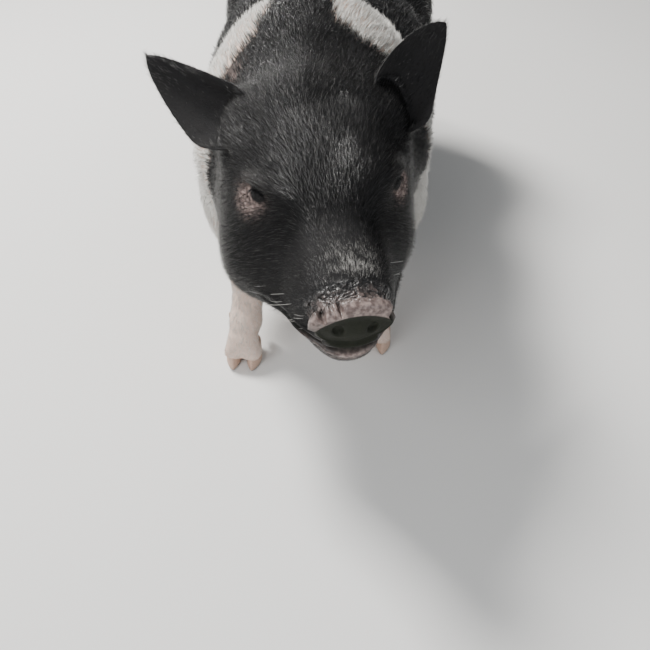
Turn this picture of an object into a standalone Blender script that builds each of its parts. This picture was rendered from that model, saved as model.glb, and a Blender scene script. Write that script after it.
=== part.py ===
"""A pot bellied pig standing with its head turned to its left, life size.

Metres, +Z up. The snout points towards -Y and the pig's own left is +X. The flesh is one smooth
form made of rounded masses that run into one another. It is then parted by thin straight cuts into
the head, snout, neck, torso and legs. Ears, eyes, claws, tail and bristle locks are built on it.
"""

import math
import random

import bmesh
import bpy
import numpy as np
from mathutils import Matrix, Vector

# Driving dimensions
SHOULDER_HEIGHT = 0.385
BODY_HALF_WIDTH = 0.142
BELLY_CLEARANCE = 0.075
STANCE_HALF_WIDTH = 0.080
EAR_LENGTH = 0.095
EAR_WIDTH = 0.072
CLAW_LENGTH = 0.044
CLAW_WIDTH = 0.0215
LOCK_LENGTH = 0.044
LOCK_WIDTH = 0.0180
LOCK_THICKNESS = 0.0036
GAP = 0.0003

# Eyes and lids, in the head's frame
EYE_HALF_SPACING = 0.0530
EYE_RADIUS = 0.0112
EYE_DEPTH = 0.0010
EYE_SLANT = 0.10
LID_HALF_LENGTH = 0.0112
LID_HALF_HEIGHT = 0.0078
LID_THICKNESS = 0.0024
LID_STEPS = 14
# The folds over and under the eye: height over its middle, half length and thickness
EYE_FOLDS = ((0.0150, 0.019, 0.0050), (-0.0125, 0.016, 0.0034))

# Snout disc, nostrils and mouth, in the head's frame
DISC_HALF_WIDTH = 0.0375
DISC_HALF_HEIGHT = 0.0275
DISC_PLACE = Vector((0, -0.1215, -0.0680))
DISC_TILT = 22
NOSTRIL_SPACING = 0.0150
NOSTRIL_RADII = (0.0062, 0.0130, 0.0088)
SNOUT_BACK = 0.040
MOUTH_HEIGHT = -0.0990
MOUTH_PIVOT = -0.050
MOUTH_SWEEP = 110
MOUTH_STEPS = 17
MOUTH_DEPTH = 0.009
MOUTH_GAP = 0.0022
LIP_THICKNESS = 0.0042
# How far each lip lies below the line of the mouth, and its share of the thickness
LIPS = {"lower_lip": (0.0038, 1.0), "upper_lip": (-0.0036, 0.8)}

# Wrinkles over the snout: how far the first lies behind the disc, and the step to the next
WRINKLES = 3
WRINKLE_START = 0.0135
WRINKLE_STEP = 0.0080
WRINKLE_THICKNESS = 0.0034
WRINKLE_SWEEP = 78

# Ears, in the head's frame
EAR_ROOT = Vector((0.077, 0.064, 0.042))
EAR_OUT = {1: 0.61, -1: 0.69}
EAR_BACK = {1: 0.46, -1: 0.52}
EAR_UP = {1: 0.65, -1: 0.445}
EAR_FACING = Vector((0.10, -0.90, 0.35))
# The width of each edge as a share of the whole, and how full it runs towards the tip
EAR_OUTER = {1: (0.93, 1.20), -1: (1.06, 1.35)}
EAR_INNER = {1: (1.02, 1.90), -1: (0.80, 1.05)}
EAR_ROUNDING = 0.66
EAR_TIP = 0.12
EAR_CUP = 1.25
EAR_SUNK = 0.014
EAR_ROOT_THICKNESS = 0.0080
EAR_COLUMNS = 8
EAR_ROWS = 11

# Feet: the coronet is the tilted plane where skin ends and horn begins
CORONET_HEIGHT = 0.020
CORONET_TILT = math.radians(14)
CLAW_SLOPE = 0.012
CLAW_SPACING = 0.0115
TOE_RADII = (0.0118, 0.0110)
DEWCLAW_THICKNESS = 0.0062

# Where the head stands, and how it is turned on the neck
HEAD_PLACE = Vector((0.024, -0.296, 0.292))
HEAD_TURN = math.radians(15)
HEAD_NOD = math.radians(-7)
HEAD_ROLL = math.radians(2)

# Where the feet stand square, and how far each one is set forward of that
FORE_FOOT = -0.205
HIND_FOOT = 0.222
FORE_STEPS = {-1: 0.046, 1: 0.010}
HIND_STEPS = {-1: -0.012, 1: 0.020}

# Where the thin cuts part the body
LEG_TILT = math.radians(50)
LEG_TOP_OUT = 0.085
FORE_TOP, FORE_MIDDLE, FORE_DEPTH = 0.168, -0.145, (0.080, 0.075)
HIND_TOP, HIND_MIDDLE, HIND_DEPTH = 0.200, 0.215, (0.105, 0.200)
HEAD_BACK = 0.090
HEAD_CUT_TILT = math.radians(10)
NECK_BACK = -0.105
NECK_CUT_TILT = math.radians(-20)

# Bristle locks of the crest and the tail's tassel
CREST_ROWS = 19
CREST_COLUMNS = 5
CREST_START = -0.165
CREST_END = 0.235
CREST_SPREAD = 0.46
LOCK_RISE = 0.0048
LOCK_SUNK = 0.0060
TAIL_HEIGHT = 0.312
TAIL_THICKNESS = 0.0105
TASSEL_LENGTH = 0.046
TASSEL_LOCKS = 5

# Fineness of the flesh mesh
ROUGH_VOXEL = 0.0060
FLESH_VOXEL = 0.0048
SETTLE_STEPS = 5
FLESH_TRIANGLES = 5900

SEED = 7
NAMES = {1: "left", -1: "right"}


def head_matrix():
    """From the head's own frame (x left, y back, z up, origin midway between the eyes) to the world."""
    turn = Matrix.Rotation(HEAD_TURN, 4, "Z")
    nod = Matrix.Rotation(HEAD_NOD, 4, "X")
    roll = Matrix.Rotation(HEAD_ROLL, 4, "Y")
    return Matrix.Translation(HEAD_PLACE) @ turn @ nod @ roll


HEAD = head_matrix()


def ball(centre, radii, tilt=0.0):
    """A rounded mass: an ellipsoid, tilted about the x axis by some degrees."""
    turn = np.array(Matrix.Rotation(math.radians(tilt), 3, "X"))
    return {"kind": "ball", "at": np.array(centre), "radii": np.array(radii), "turn": turn}


def limb(start, end, start_radius, end_radius, squash=(1.0, 1.0, 1.0)):
    """A tapered rod with round ends. squash widens or flattens it along x, y and z."""
    return {
        "kind": "limb",
        "at": np.array(start),
        "to": np.array(end),
        "radii": np.array((start_radius, end_radius)),
        "squash": np.array(squash),
    }


def mass_distance(mass, points):
    """Distance from each point to one mass, less than zero inside it."""
    if mass["kind"] == "ball":
        local = (points - mass["at"]) @ mass["turn"]
        near = np.linalg.norm(local / mass["radii"], axis=1)
        slope = np.linalg.norm(local / mass["radii"] ** 2, axis=1)
        return near * (near - 1) / np.maximum(slope, 1e-9)
    squash = mass["squash"]
    along = (mass["to"] - mass["at"]) / squash
    local = (points - mass["at"]) / squash
    share = np.clip(local @ along / (along @ along), 0, 1)
    radius = mass["radii"][0] + (mass["radii"][1] - mass["radii"][0]) * share
    return np.linalg.norm(local - share[:, None] * along, axis=1) - radius


def run_together(first, second, fillet):
    """The smooth union of two distances, with a fillet of about that size where they meet."""
    share = np.clip(0.5 + 0.5 * (second - first) / fillet, 0, 1)
    return second + (first - second) * share - fillet * share * (1 - share)


def masses_distance(masses, points):
    """Distance to a list of (mass, fillet), each run into those before it."""
    distance = mass_distance(masses[0][0], points)
    for mass, fillet in masses[1:]:
        distance = run_together(distance, mass_distance(mass, points), fillet)
    return distance


def head_masses():
    """The left half of the head, in the head's own frame."""
    return [
        (ball((0, 0.052, 0.002), (0.076, 0.070, 0.076)), 0),
        (ball((0, 0.008, -0.006), (0.060, 0.050, 0.050), 25), 0.030),
        (ball((0.062, 0.062, 0.032), (0.026, 0.034, 0.034)), 0.025),
        (limb((0, 0.002, -0.040), (0, -0.078, -0.064), 0.055, 0.0365, (1.02, 1, 1)), 0.030),
        (limb((0, -0.078, -0.062), (0, -0.106, -0.0655), 0.0330, 0.0275, (1.14, 1, 1)), 0.014),
        (ball(tuple(DISC_PLACE), (DISC_HALF_WIDTH, 0.0075, DISC_HALF_HEIGHT), DISC_TILT), 0.005),
        (ball((0, -0.056, -0.044), (0.033, 0.040, 0.026), 20), 0.020),
        (ball((0.038, 0.000, 0.012), (0.021, 0.026, 0.017), 20), 0.020),
        (ball((0.048, 0.036, -0.022), (0.037, 0.050, 0.038), -15), 0.030),
        (ball((0.051, 0.036, -0.066), (0.040, 0.062, 0.056), 10), 0.030),
        (limb((0.046, 0.005, -0.070), (0.018, -0.070, -0.080), 0.042, 0.0240), 0.030),
        (limb((0, 0.030, -0.092), (0, -0.072, -0.100), 0.048, 0.0255, (1.25, 1, 1)), 0.028),
        (ball((0, -0.096, -0.1060), (0.0265, 0.0235, 0.0160), 4), 0.012),
    ]


def digits(x, foot_y):
    """The two toes of a foot, just above its claws."""
    toes = []
    for out in (-1, 1):
        top = (x + out * 0.006, foot_y - 0.004, 0.034)
        tip = (x + out * CLAW_SPACING, foot_y - 0.012, CORONET_HEIGHT)
        toes.append((limb(top, tip, *TOE_RADII), 0.006))
    return toes


def foreleg_masses(side, step):
    """A foreleg, its foot moved forward by step."""
    x = side * STANCE_HALF_WIDTH
    foot_y = FORE_FOOT - step
    shoulder = (side * 0.066, -0.145, 0.235)
    elbow = (side * 0.080, -0.142, 0.168)
    knee = (x - side * 0.009, -0.180 - 0.6 * step, 0.104)
    fetlock = (x - side * 0.002, foot_y + 0.012, 0.050)
    toe = (x, foot_y - 0.004, 0.024)
    return [
        (limb(shoulder, elbow, 0.070, 0.052, (0.82, 1.2, 1)), 0.05),
        (limb(elbow, knee, 0.048, 0.0235, (0.95, 1.1, 1)), 0.03),
        (limb(knee, fetlock, 0.0225, 0.0162), 0.012),
        (limb(fetlock, toe, 0.0165, 0.0168), 0.012),
    ] + digits(x, foot_y)


def hindleg_masses(side, step):
    """A hind leg, its foot moved forward by step."""
    x = side * STANCE_HALF_WIDTH
    foot_y = HIND_FOOT - step
    hip = (side * 0.070, 0.215, 0.250)
    stifle = (side * 0.096, 0.160 - 0.5 * step, 0.180)
    hock = (x, 0.266 - 0.8 * step, 0.124)
    fetlock = (x, foot_y + 0.016, 0.050)
    toe = (x, foot_y - 0.002, 0.024)
    return [
        (limb(hip, stifle, 0.090, 0.064, (0.80, 1, 1)), 0.05),
        (limb(stifle, hock, 0.054, 0.0265, (0.85, 1, 1)), 0.03),
        (limb(hip, hock, 0.074, 0.0250, (0.80, 1, 1)), 0.03),
        (limb(hock, fetlock, 0.0240, 0.0170, (0.92, 1.1, 1)), 0.012),
        (limb(fetlock, toe, 0.0170, 0.0168), 0.012),
    ] + digits(x, foot_y)


def trunk_masses():
    """The trunk and neck: chest, barrel, hanging belly, hams, and a short thick neck."""
    top = SHOULDER_HEIGHT
    nape = HEAD @ Vector((0, 0.070, 0.004))
    throat = HEAD @ Vector((0, 0.075, -0.060))
    return [
        (ball((0, -0.135, top - 0.134), (0.112, 0.125, 0.134)), 0),
        (ball((0, 0.030, top - 0.162), (BODY_HALF_WIDTH, 0.200, 0.132)), 0.06),
        (ball((0, 0.035, BELLY_CLEARANCE + 0.098), (0.130, 0.160, 0.090)), 0.06),
        (ball((0, 0.205, top - 0.132), (0.124, 0.128, 0.125), -8), 0.06),
        (ball((0, -0.185, 0.210), (0.084, 0.070, 0.085)), 0.05),
        (limb((0, -0.130, 0.275), tuple(nape), 0.108, 0.080, (0.88, 1, 1)), 0.05),
        (limb((0, -0.150, 0.225), tuple(throat), 0.104, 0.074, (0.90, 1, 1)), 0.05),
    ]


def body_masses():
    masses = trunk_masses()
    for side in (-1, 1):
        masses += foreleg_masses(side, FORE_STEPS[side])
        masses += hindleg_masses(side, HIND_STEPS[side])
    return masses


HEAD_MASSES = head_masses()
BODY_MASSES = body_masses()
NECK_FILLET = 0.035
JOWL_SWING = 0.006


def flesh_distance(points):
    """Distance from the pig's skin, less than zero inside the flesh."""
    back = np.array(HEAD.inverted())
    local = points @ back[:3, :3].T + back[:3, 3]
    low = np.clip(-local[:, 2] / 0.08, 0, 1) * np.clip((local[:, 1] + 0.06) / 0.06, 0, 1)
    local[:, 0] = np.abs(local[:, 0] + JOWL_SWING * low)
    head = masses_distance(HEAD_MASSES, local)
    body = masses_distance(BODY_MASSES, points)
    return run_together(head, body, NECK_FILLET)


def slope_of(distance, points, step=2e-4):
    """Gradient of a distance at each point."""
    columns = []
    for axis in range(3):
        shift = np.zeros(3)
        shift[axis] = step
        columns.append((distance(points + shift) - distance(points - shift)) / (2 * step))
    return np.stack(columns, axis=1)


def settle(mesh, distance, steps=SETTLE_STEPS):
    """Moves every vertex of a mesh on to the surface where the distance is nought."""
    points = np.empty(len(mesh.vertices) * 3, np.float32)
    mesh.vertices.foreach_get("co", points)
    points = points.reshape(-1, 3).astype(float)
    for _ in range(steps):
        slope = slope_of(distance, points)
        size = np.maximum((slope**2).sum(axis=1), 0.05)
        points -= (distance(points) / size)[:, None] * slope
    mesh.vertices.foreach_set("co", points.astype(np.float32).ravel())
    mesh.update()


def collection(name, hidden=False):
    made = bpy.data.collections.new(name)
    bpy.context.scene.collection.children.link(made)
    made.hide_render = hidden
    return made


def material(name, colour, roughness, metallic=0.0):
    made = bpy.data.materials.new(name)
    made.use_nodes = True
    shader = made.node_tree.nodes["Principled BSDF"]
    shader.inputs["Base Color"].default_value = (*colour, 1)
    shader.inputs["Roughness"].default_value = roughness
    shader.inputs["Metallic"].default_value = metallic
    return made


def object_from(bm, name, into, finish=None):
    """A mesh object made from a bmesh, which is freed."""
    mesh = bpy.data.meshes.new(name)
    bm.to_mesh(mesh)
    bm.free()
    obj = bpy.data.objects.new(name, mesh)
    into.objects.link(obj)
    if finish:
        mesh.materials.append(finish)
    return obj


def bake(obj):
    """Puts the evaluated mesh in place of an object's mesh and modifiers."""
    graph = bpy.context.evaluated_depsgraph_get()
    mesh = bpy.data.meshes.new_from_object(obj.evaluated_get(graph))
    obj.modifiers.clear()
    old = obj.data
    obj.data = mesh
    if not old.users:
        bpy.data.meshes.remove(old)
    return obj


def remove(*objects):
    for obj in objects:
        bpy.data.objects.remove(obj)


def combine(obj, operation, other):
    """Applies one Boolean with another object to obj."""
    cut = obj.modifiers.new(operation.lower(), "BOOLEAN")
    cut.operation = operation
    cut.object = other
    cut.solver = "MANIFOLD"
    return bake(obj)


def copy_of(obj, name, into):
    made = obj.copy()
    made.data = obj.data.copy()
    made.name = name
    into.objects.link(made)
    return made


def largest_piece(obj):
    """Keeps only an object's largest closed surface."""
    bm = bmesh.new()
    bm.from_mesh(obj.data)
    bm.verts.ensure_lookup_table()
    unseen = set(bm.verts)
    groups = []
    while unseen:
        edge_of = [unseen.pop()]
        group = list(edge_of)
        while edge_of:
            vert = edge_of.pop()
            for edge in vert.link_edges:
                other = edge.other_vert(vert)
                if other in unseen:
                    unseen.discard(other)
                    edge_of.append(other)
                    group.append(other)
        groups.append(group)
    groups.sort(key=len)
    for group in groups[:-1]:
        bmesh.ops.delete(bm, geom=group, context="VERTS")
    bm.to_mesh(obj.data)
    bm.free()
    return obj


def rough_mass(bm, mass, matrix=None):
    """Adds a mass to a bmesh as a plain closed lump, to give the flesh its first mesh."""
    lump = bmesh.new()
    if mass["kind"] == "ball":
        place = Matrix.Translation(mass["at"]) @ Matrix(mass["turn"]).to_4x4()
        place = place @ Matrix.Diagonal((*mass["radii"], 1))
        bmesh.ops.create_uvsphere(lump, u_segments=24, v_segments=16, radius=1, matrix=place)
    else:
        for end, radius in (("at", mass["radii"][0]), ("to", mass["radii"][1])):
            place = Matrix.Translation(mass[end]) @ Matrix.Diagonal((*(mass["squash"] * radius), 1))
            bmesh.ops.create_uvsphere(lump, u_segments=20, v_segments=12, radius=1, matrix=place)
        hull = bmesh.ops.convex_hull(lump, input=lump.verts)
        spare = {v for v in hull["geom_interior"] if isinstance(v, bmesh.types.BMVert)}
        bmesh.ops.delete(lump, geom=list(spare), context="VERTS")
    if matrix is not None:
        lump.transform(matrix)
    mesh = bpy.data.meshes.new("lump")
    lump.to_mesh(mesh)
    lump.free()
    bm.from_mesh(mesh)
    bpy.data.meshes.remove(mesh)


def rough_flesh(into):
    """All the masses as lumps in one object."""
    bm = bmesh.new()
    for mass, _ in BODY_MASSES:
        rough_mass(bm, mass)
    mirror = Matrix.Diagonal((-1, 1, 1, 1))
    for mass, _ in HEAD_MASSES:
        rough_mass(bm, mass, HEAD)
        if mass["at"][0] > 0:
            rough_mass(bm, mass, HEAD @ mirror)
    bmesh.ops.recalc_face_normals(bm, faces=bm.faces)
    return object_from(bm, "flesh", into)


def remeshed(obj, voxel):
    skin = obj.modifiers.new("skin", "REMESH")
    skin.mode = "VOXEL"
    skin.voxel_size = voxel
    return bake(obj)


def flesh_form(into):
    """The whole flesh as one smooth closed mesh, finer where it bends most."""
    obj = rough_flesh(into)
    for voxel in (ROUGH_VOXEL, FLESH_VOXEL):
        remeshed(obj, voxel)
        settle(obj.data, flesh_distance)
    largest_piece(obj)
    fewer = obj.modifiers.new("fewer", "DECIMATE")
    fewer.ratio = FLESH_TRIANGLES / (2 * len(obj.data.polygons))
    return bake(obj)


def skin_point(start, direction, reach=0.12):
    """Where a straight line from inside the flesh comes out of it."""
    near, far = 0.0, reach
    for _ in range(20):
        middle = (near + far) / 2
        if flesh_distance(np.array([start + direction * middle]))[0] < 0:
            near = middle
        else:
            far = middle
    return start + direction * near


def surface_point(start, direction, reach=0.12):
    """The same in the head's frame."""
    direction = HEAD.to_3x3() @ Vector(direction).normalized()
    return HEAD.inverted() @ skin_point(HEAD @ Vector(start), direction, reach)


def block(name, matrix, low, high, into, grow=0.0):
    """A box from low to high in the frame of matrix, made larger by grow on every side."""
    low = Vector(low) - Vector((grow,) * 3)
    high = Vector(high) + Vector((grow,) * 3)
    place = matrix @ Matrix.Translation((low + high) / 2) @ Matrix.Diagonal((*(high - low), 1))
    bm = bmesh.new()
    bmesh.ops.create_cube(bm, size=1, matrix=place)
    return object_from(bm, name, into)


def egg(name, matrix, radii, into, rings=9, segments=14):
    """A stretched ball in the frame of matrix."""
    bm = bmesh.new()
    place = matrix @ Matrix.Diagonal((*radii, 1))
    bmesh.ops.create_uvsphere(bm, u_segments=segments, v_segments=rings, radius=1, matrix=place)
    return object_from(bm, name, into)


def tube(name, stops, thickness, into, closed=False, sides=1):
    """A closed mesh tube through stops, each a point and its share of the thickness."""
    curve = bpy.data.curves.new(name, "CURVE")
    curve.dimensions = "3D"
    curve.bevel_depth = thickness
    curve.bevel_resolution = sides
    curve.use_fill_caps = True
    spline = curve.splines.new("POLY")
    spline.points.add(len(stops) - 1)
    spline.use_cyclic_u = closed
    for place, (point, share) in zip(spline.points, stops):
        place.co = (*point, 1)
        place.radius = share
    drawn = bpy.data.objects.new(name, curve)
    into.objects.link(drawn)
    graph = bpy.context.evaluated_depsgraph_get()
    mesh = bpy.data.meshes.new_from_object(drawn.evaluated_get(graph))
    remove(drawn)
    bm = bmesh.new()
    bm.from_mesh(mesh)
    bpy.data.meshes.remove(mesh)
    bmesh.ops.remove_doubles(bm, verts=bm.verts, dist=1e-5)
    bmesh.ops.recalc_face_normals(bm, faces=bm.faces)
    return object_from(bm, name, into)


def eye_frame(side):
    """The centre of an eyeball, with x along the lids, y up the face and z along the gaze."""
    gaze = Vector((side * 0.74, -0.66, 0.12)).normalized()
    seen = surface_point(Vector((side * EYE_HALF_SPACING, 0, 0)) - gaze * 0.035, gaze)
    level = Vector((0.66, side * 0.74, side * EYE_SLANT)).normalized()
    up = gaze.cross(level).normalized()
    if up.z < 0:
        up = -up
    level = up.cross(gaze).normalized()
    centre = seen - gaze * (EYE_RADIUS + EYE_DEPTH)
    turn = Matrix((level, up, gaze)).transposed().to_4x4()
    return Matrix.Translation(centre) @ turn


def lid_ring(side, into):
    """The raised rim of both lids, an almond ring laid on the skin round the eye."""
    frame = eye_frame(side)
    gaze = frame.to_3x3() @ Vector((0, 0, 1))
    stops = []
    for step in range(LID_STEPS):
        angle = 2 * math.pi * step / LID_STEPS
        across = LID_HALF_LENGTH * math.cos(angle)
        along = LID_HALF_HEIGHT * math.sin(angle)
        skin = surface_point(frame @ Vector((across, along, -0.004)), gaze, 0.05)
        upper = max(math.sin(angle), 0)
        stops.append((HEAD @ (skin - gaze * 0.0008), 1 + 0.35 * upper))
    return tube("lid", stops, LID_THICKNESS, into, closed=True)


def eye_fold(side, height, spread, thickness, into):
    """A fold of skin that runs over or under the eye, thinner at both ends."""
    frame = eye_frame(side)
    gaze = frame.to_3x3() @ Vector((0, 0, 1))
    stops = []
    for step in range(9):
        share = step / 4 - 1
        across = spread * share
        along = height * (1 - 0.45 * share**2)
        skin = surface_point(frame @ Vector((across, along, -0.004)), gaze, 0.05)
        stops.append((HEAD @ (skin - gaze * 0.0012), 1 - 0.75 * share**2))
    return tube("fold", stops, thickness, into)


def mouth_height(y):
    """How the line of the mouth rises towards its corners, in the head's frame."""
    back = min(max((y + 0.120) / 0.085, 0), 1)
    return MOUTH_HEIGHT + 0.010 * back + 0.006 * math.sin(math.pi * back)


def mouth_line(count):
    """Points on the skin along the mouth, from the right corner round the front to the left."""
    found = []
    for step in range(count):
        angle = math.radians(MOUTH_SWEEP) * (2 * step / (count - 1) - 1)
        out = Vector((math.sin(angle), -math.cos(angle), 0))
        start = Vector((0, MOUTH_PIVOT, MOUTH_HEIGHT))
        skin = surface_point(start, out)
        skin = surface_point((0, MOUTH_PIVOT, mouth_height(skin.y)), out)
        found.append((skin, out))
    return found


def mouth_cutter(into):
    """A thin sheet that follows the line of the mouth and goes a little way in."""
    line = mouth_line(MOUTH_STEPS)
    bm = bmesh.new()
    bmesh.ops.create_grid(bm, x_segments=MOUTH_STEPS - 1, y_segments=1, size=1)
    for vert in bm.verts:
        step = round((vert.co.x + 1) / 2 * (MOUTH_STEPS - 1))
        skin, out = line[step]
        vert.co = HEAD @ (skin + out * (0.008 if vert.co.y > 0 else -MOUTH_DEPTH))
    bmesh.ops.triangulate(bm, faces=bm.faces)
    sheet = object_from(bm, "mouth_cutter", into)
    thick = sheet.modifiers.new("gap", "SOLIDIFY")
    thick.thickness = MOUTH_GAP
    thick.offset = 0
    return bake(sheet)


def lip(name, drop, share, into):
    """A lip: a ridge that follows the mouth, drop below its line."""
    stops = []
    line = mouth_line(MOUTH_STEPS)
    for step, (skin, out) in enumerate(line):
        place = step / (len(line) - 1) * 2 - 1
        stops.append((HEAD @ (skin - out * 0.0016 - Vector((0, 0, drop))), share * (1 - 0.55 * place**4)))
    return tube(name, stops, LIP_THICKNESS, into)


def snout_fold(back, thickness, into):
    """One wrinkle over the top of the snout, the given distance behind the disc."""
    tilt = Matrix.Rotation(math.radians(DISC_TILT), 4, "X")
    stops = []
    for step in range(9):
        angle = math.radians(WRINKLE_SWEEP) * (step / 4 - 1)
        out = tilt @ Vector((math.sin(angle), 0, math.cos(angle)))
        start = DISC_PLACE + tilt @ Vector((0, back - 0.003 * math.cos(2 * angle), 0))
        skin = surface_point(start, out)
        stops.append((HEAD @ (skin - out * 0.0012), 1 - 0.5 * (step / 4 - 1) ** 2))
    return tube("wrinkle", stops, thickness, into)


def nostril(side, into):
    """An oval hole in the disc, slanted outwards at the top."""
    slant = Matrix.Rotation(side * math.radians(12), 4, "Y")
    turn = slant @ Matrix.Rotation(side * math.radians(8), 4, "Z")
    disc = Matrix.Translation(DISC_PLACE) @ Matrix.Rotation(math.radians(DISC_TILT), 4, "X")
    place = HEAD @ disc @ Matrix.Translation((side * NOSTRIL_SPACING, -0.006, 0.001)) @ turn
    return egg("nostril", place, NOSTRIL_RADII, into, 8, 12)


def ear_frame(side):
    """The root of an ear, with x across it, y along it and z out of its cup, in the head's frame."""
    along = Vector((side * EAR_OUT[side], EAR_BACK[side], EAR_UP[side])).normalized()
    facing = Vector(EAR_FACING) * Vector((side, 1, 1))
    facing = (facing - along * facing.dot(along)).normalized()
    across = along.cross(facing)
    turn = Matrix((across, along, facing)).transposed().to_4x4()
    root = Vector((side * EAR_ROOT.x, EAR_ROOT.y, EAR_ROOT.z))
    return Matrix.Translation(root) @ turn


def ear_half_width(share, side, outer):
    """Half the width of an ear at a share of its length: broad at the root, with a rounded tip."""
    width, fullness = EAR_OUTER[side] if outer else EAR_INNER[side]
    return EAR_WIDTH / 2 * width * max((1 - share**fullness) ** EAR_ROUNDING, EAR_TIP)


def ear(side, skin, into, finish):
    """An ear: a bent leaf with thick roots, rolled into a cup low down."""
    bm = bmesh.new()
    bmesh.ops.create_grid(bm, x_segments=EAR_COLUMNS, y_segments=EAR_ROWS, size=1)
    bm.verts.index_update()
    frame = HEAD @ ear_frame(side)
    shares = {}
    for vert in bm.verts:
        across = vert.co.x
        share = (vert.co.y + 1) / 2
        shares[vert.index] = share
        half = ear_half_width(share, side, across * side > 0)
        roll = EAR_CUP * (1 - 0.80 * share)
        angle = across * roll
        x = half * math.sin(angle) / math.sin(roll)
        z = half * (1 - math.cos(angle)) / math.sin(roll) + 0.010 * share**2
        y = EAR_LENGTH * share - EAR_SUNK * (1 - share)
        vert.co = frame @ Vector((x, y, z))
    bmesh.ops.triangulate(bm, faces=bm.faces)
    obj = object_from(bm, f"ear_{NAMES[side]}", into, finish)
    group = obj.vertex_groups.new(name="thick")
    for index, share in shares.items():
        group.add([index], 1 - 0.68 * min(share * 1.6, 1), "REPLACE")
    shell = obj.modifiers.new("shell", "SOLIDIFY")
    shell.thickness = EAR_ROOT_THICKNESS
    shell.offset = 0
    shell.vertex_group = group.name
    bake(obj)
    obj.vertex_groups.clear()
    combine(obj, "DIFFERENCE", skin)
    return largest_piece(obj)


def grown(obj, amount, into):
    """A copy of a closed mesh with its skin moved outwards."""
    made = copy_of(obj, obj.name + "_grown", into)
    swell = made.modifiers.new("swell", "DISPLACE")
    swell.strength = amount
    swell.mid_level = 0
    return bake(made)


def claw(name, x, side, foot_y, into, finish):
    """One claw: a horn shoe with a flat sole, pointed in front and flat towards its twin."""
    tall = CORONET_HEIGHT * 2
    bm = bmesh.new()
    bmesh.ops.create_cone(bm, cap_ends=True, segments=18, radius1=1, radius2=0.84, depth=1)
    for vert in bm.verts:
        height = vert.co.z + 0.5
        across = vert.co.x * CLAW_WIDTH / 2
        along = vert.co.y * CLAW_LENGTH / 2
        if across * side < 0:
            across *= 0.78
        if along < 0:
            across *= 1 - 0.42 * vert.co.y**2
        centre = Vector((x + side * CLAW_SPACING, foot_y - 0.006 + CLAW_SLOPE * height, 0))
        vert.co = centre + Vector((across, along, height * tall))
    top = coronet_matrix(foot_y)
    cut = bmesh.ops.bisect_plane(
        bm,
        geom=bm.verts[:] + bm.edges[:] + bm.faces[:],
        plane_co=top @ Vector((0, 0, -GAP)),
        plane_no=top.to_3x3() @ Vector((0, 0, 1)),
        clear_outer=True,
    )
    rim = [item for item in cut["geom_cut"] if isinstance(item, bmesh.types.BMEdge)]
    bmesh.ops.holes_fill(bm, edges=rim)
    bmesh.ops.recalc_face_normals(bm, faces=bm.faces)
    return object_from(bm, name, into, finish)


def coronet_matrix(foot_y):
    """The tilted plane where the skin of a foot ends and its claws begin."""
    return Matrix.Translation((0, foot_y, CORONET_HEIGHT)) @ Matrix.Rotation(-CORONET_TILT, 4, "X")


def dewclaw(x, side, foot_y, into):
    """A small claw behind the foot, its root sunk in the flesh."""
    root = Vector((x + side * 0.012, foot_y + 0.022, 0.046))
    stops = [
        (root + Vector((0, -0.008, 0.008)), 0.9),
        (root + Vector((side * 0.002, 0.008, -0.002)), 1.0),
        (root + Vector((side * 0.003, 0.015, -0.018)), 0.40),
    ]
    return tube("dewclaw", stops, DEWCLAW_THICKNESS, into)


def take(flesh, name, matrix, low, high, cutters, into):
    """Parts a box of the flesh off as a node of its own, with a thin gap all round."""
    piece = copy_of(flesh, name, into)
    inside = block("inside", matrix, low, high, cutters)
    outside = block("outside", matrix, low, high, cutters, GAP)
    combine(piece, "INTERSECT", inside)
    combine(flesh, "DIFFERENCE", outside)
    remove(inside, outside)
    return largest_piece(piece)


def lock(root, lie, up, length, width, into):
    """One flat tapered lock of bristles that rises a little and bends over along its lie."""
    bm = bmesh.new()
    bmesh.ops.create_cube(bm, size=1)
    long_edges = [e for e in bm.edges if abs(e.verts[0].co.y - e.verts[1].co.y) > 0.5]
    bmesh.ops.subdivide_edges(bm, edges=long_edges, cuts=2, use_grid_fill=True)
    across = lie.cross(up).normalized()
    for vert in bm.verts:
        share = vert.co.y + 0.5
        full = (0.75 + 0.5 * share) * (1 - share**2.2) + 0.06
        narrow = 0.55 if vert.co.z > 0 else 1.0
        x = vert.co.x * width * full * narrow
        z = vert.co.z * LOCK_THICKNESS * full
        rise = LOCK_RISE * math.sin(math.pi * 0.62 * share) - LOCK_SUNK * (1 - share) ** 2
        y = length * share - LOCK_SUNK * 0.5
        vert.co = root + across * x + lie * y + up * (rise + z)
    bmesh.ops.triangulate(bm, faces=bm.faces)
    bmesh.ops.recalc_face_normals(bm, faces=bm.faces)
    return object_from(bm, "lock", into)


def crest_locks(into):
    """Rows of bristle locks down the nape and the back, each row set between those of the last."""
    dice = random.Random(SEED)
    for row in range(CREST_ROWS):
        share = row / (CREST_ROWS - 1)
        y = CREST_START + (CREST_END - CREST_START) * share
        count = CREST_COLUMNS - row % 2
        spread = CREST_SPREAD * (1 - 0.35 * share)
        for column in range(count):
            place = 2 * column / (count - 1) - 1
            angle = spread * place + dice.uniform(-0.03, 0.03)
            out = Vector((math.sin(angle), 0, math.cos(angle)))
            root = skin_point(Vector((0, y + dice.uniform(-0.003, 0.003), 0.24)), out, 0.25)
            up = Vector(slope_of(flesh_distance, np.array([root]))[0]).normalized()
            lie = Vector((0.30 * place + dice.uniform(-0.12, 0.12), 1, 0))
            lie = (lie - up * lie.dot(up)).normalized()
            size = (1 - 0.25 * share) * (1 - 0.20 * abs(place)) * dice.uniform(0.88, 1.12)
            lock(root, lie, up, LOCK_LENGTH * size, LOCK_WIDTH * dice.uniform(0.9, 1.1), into)


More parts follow.
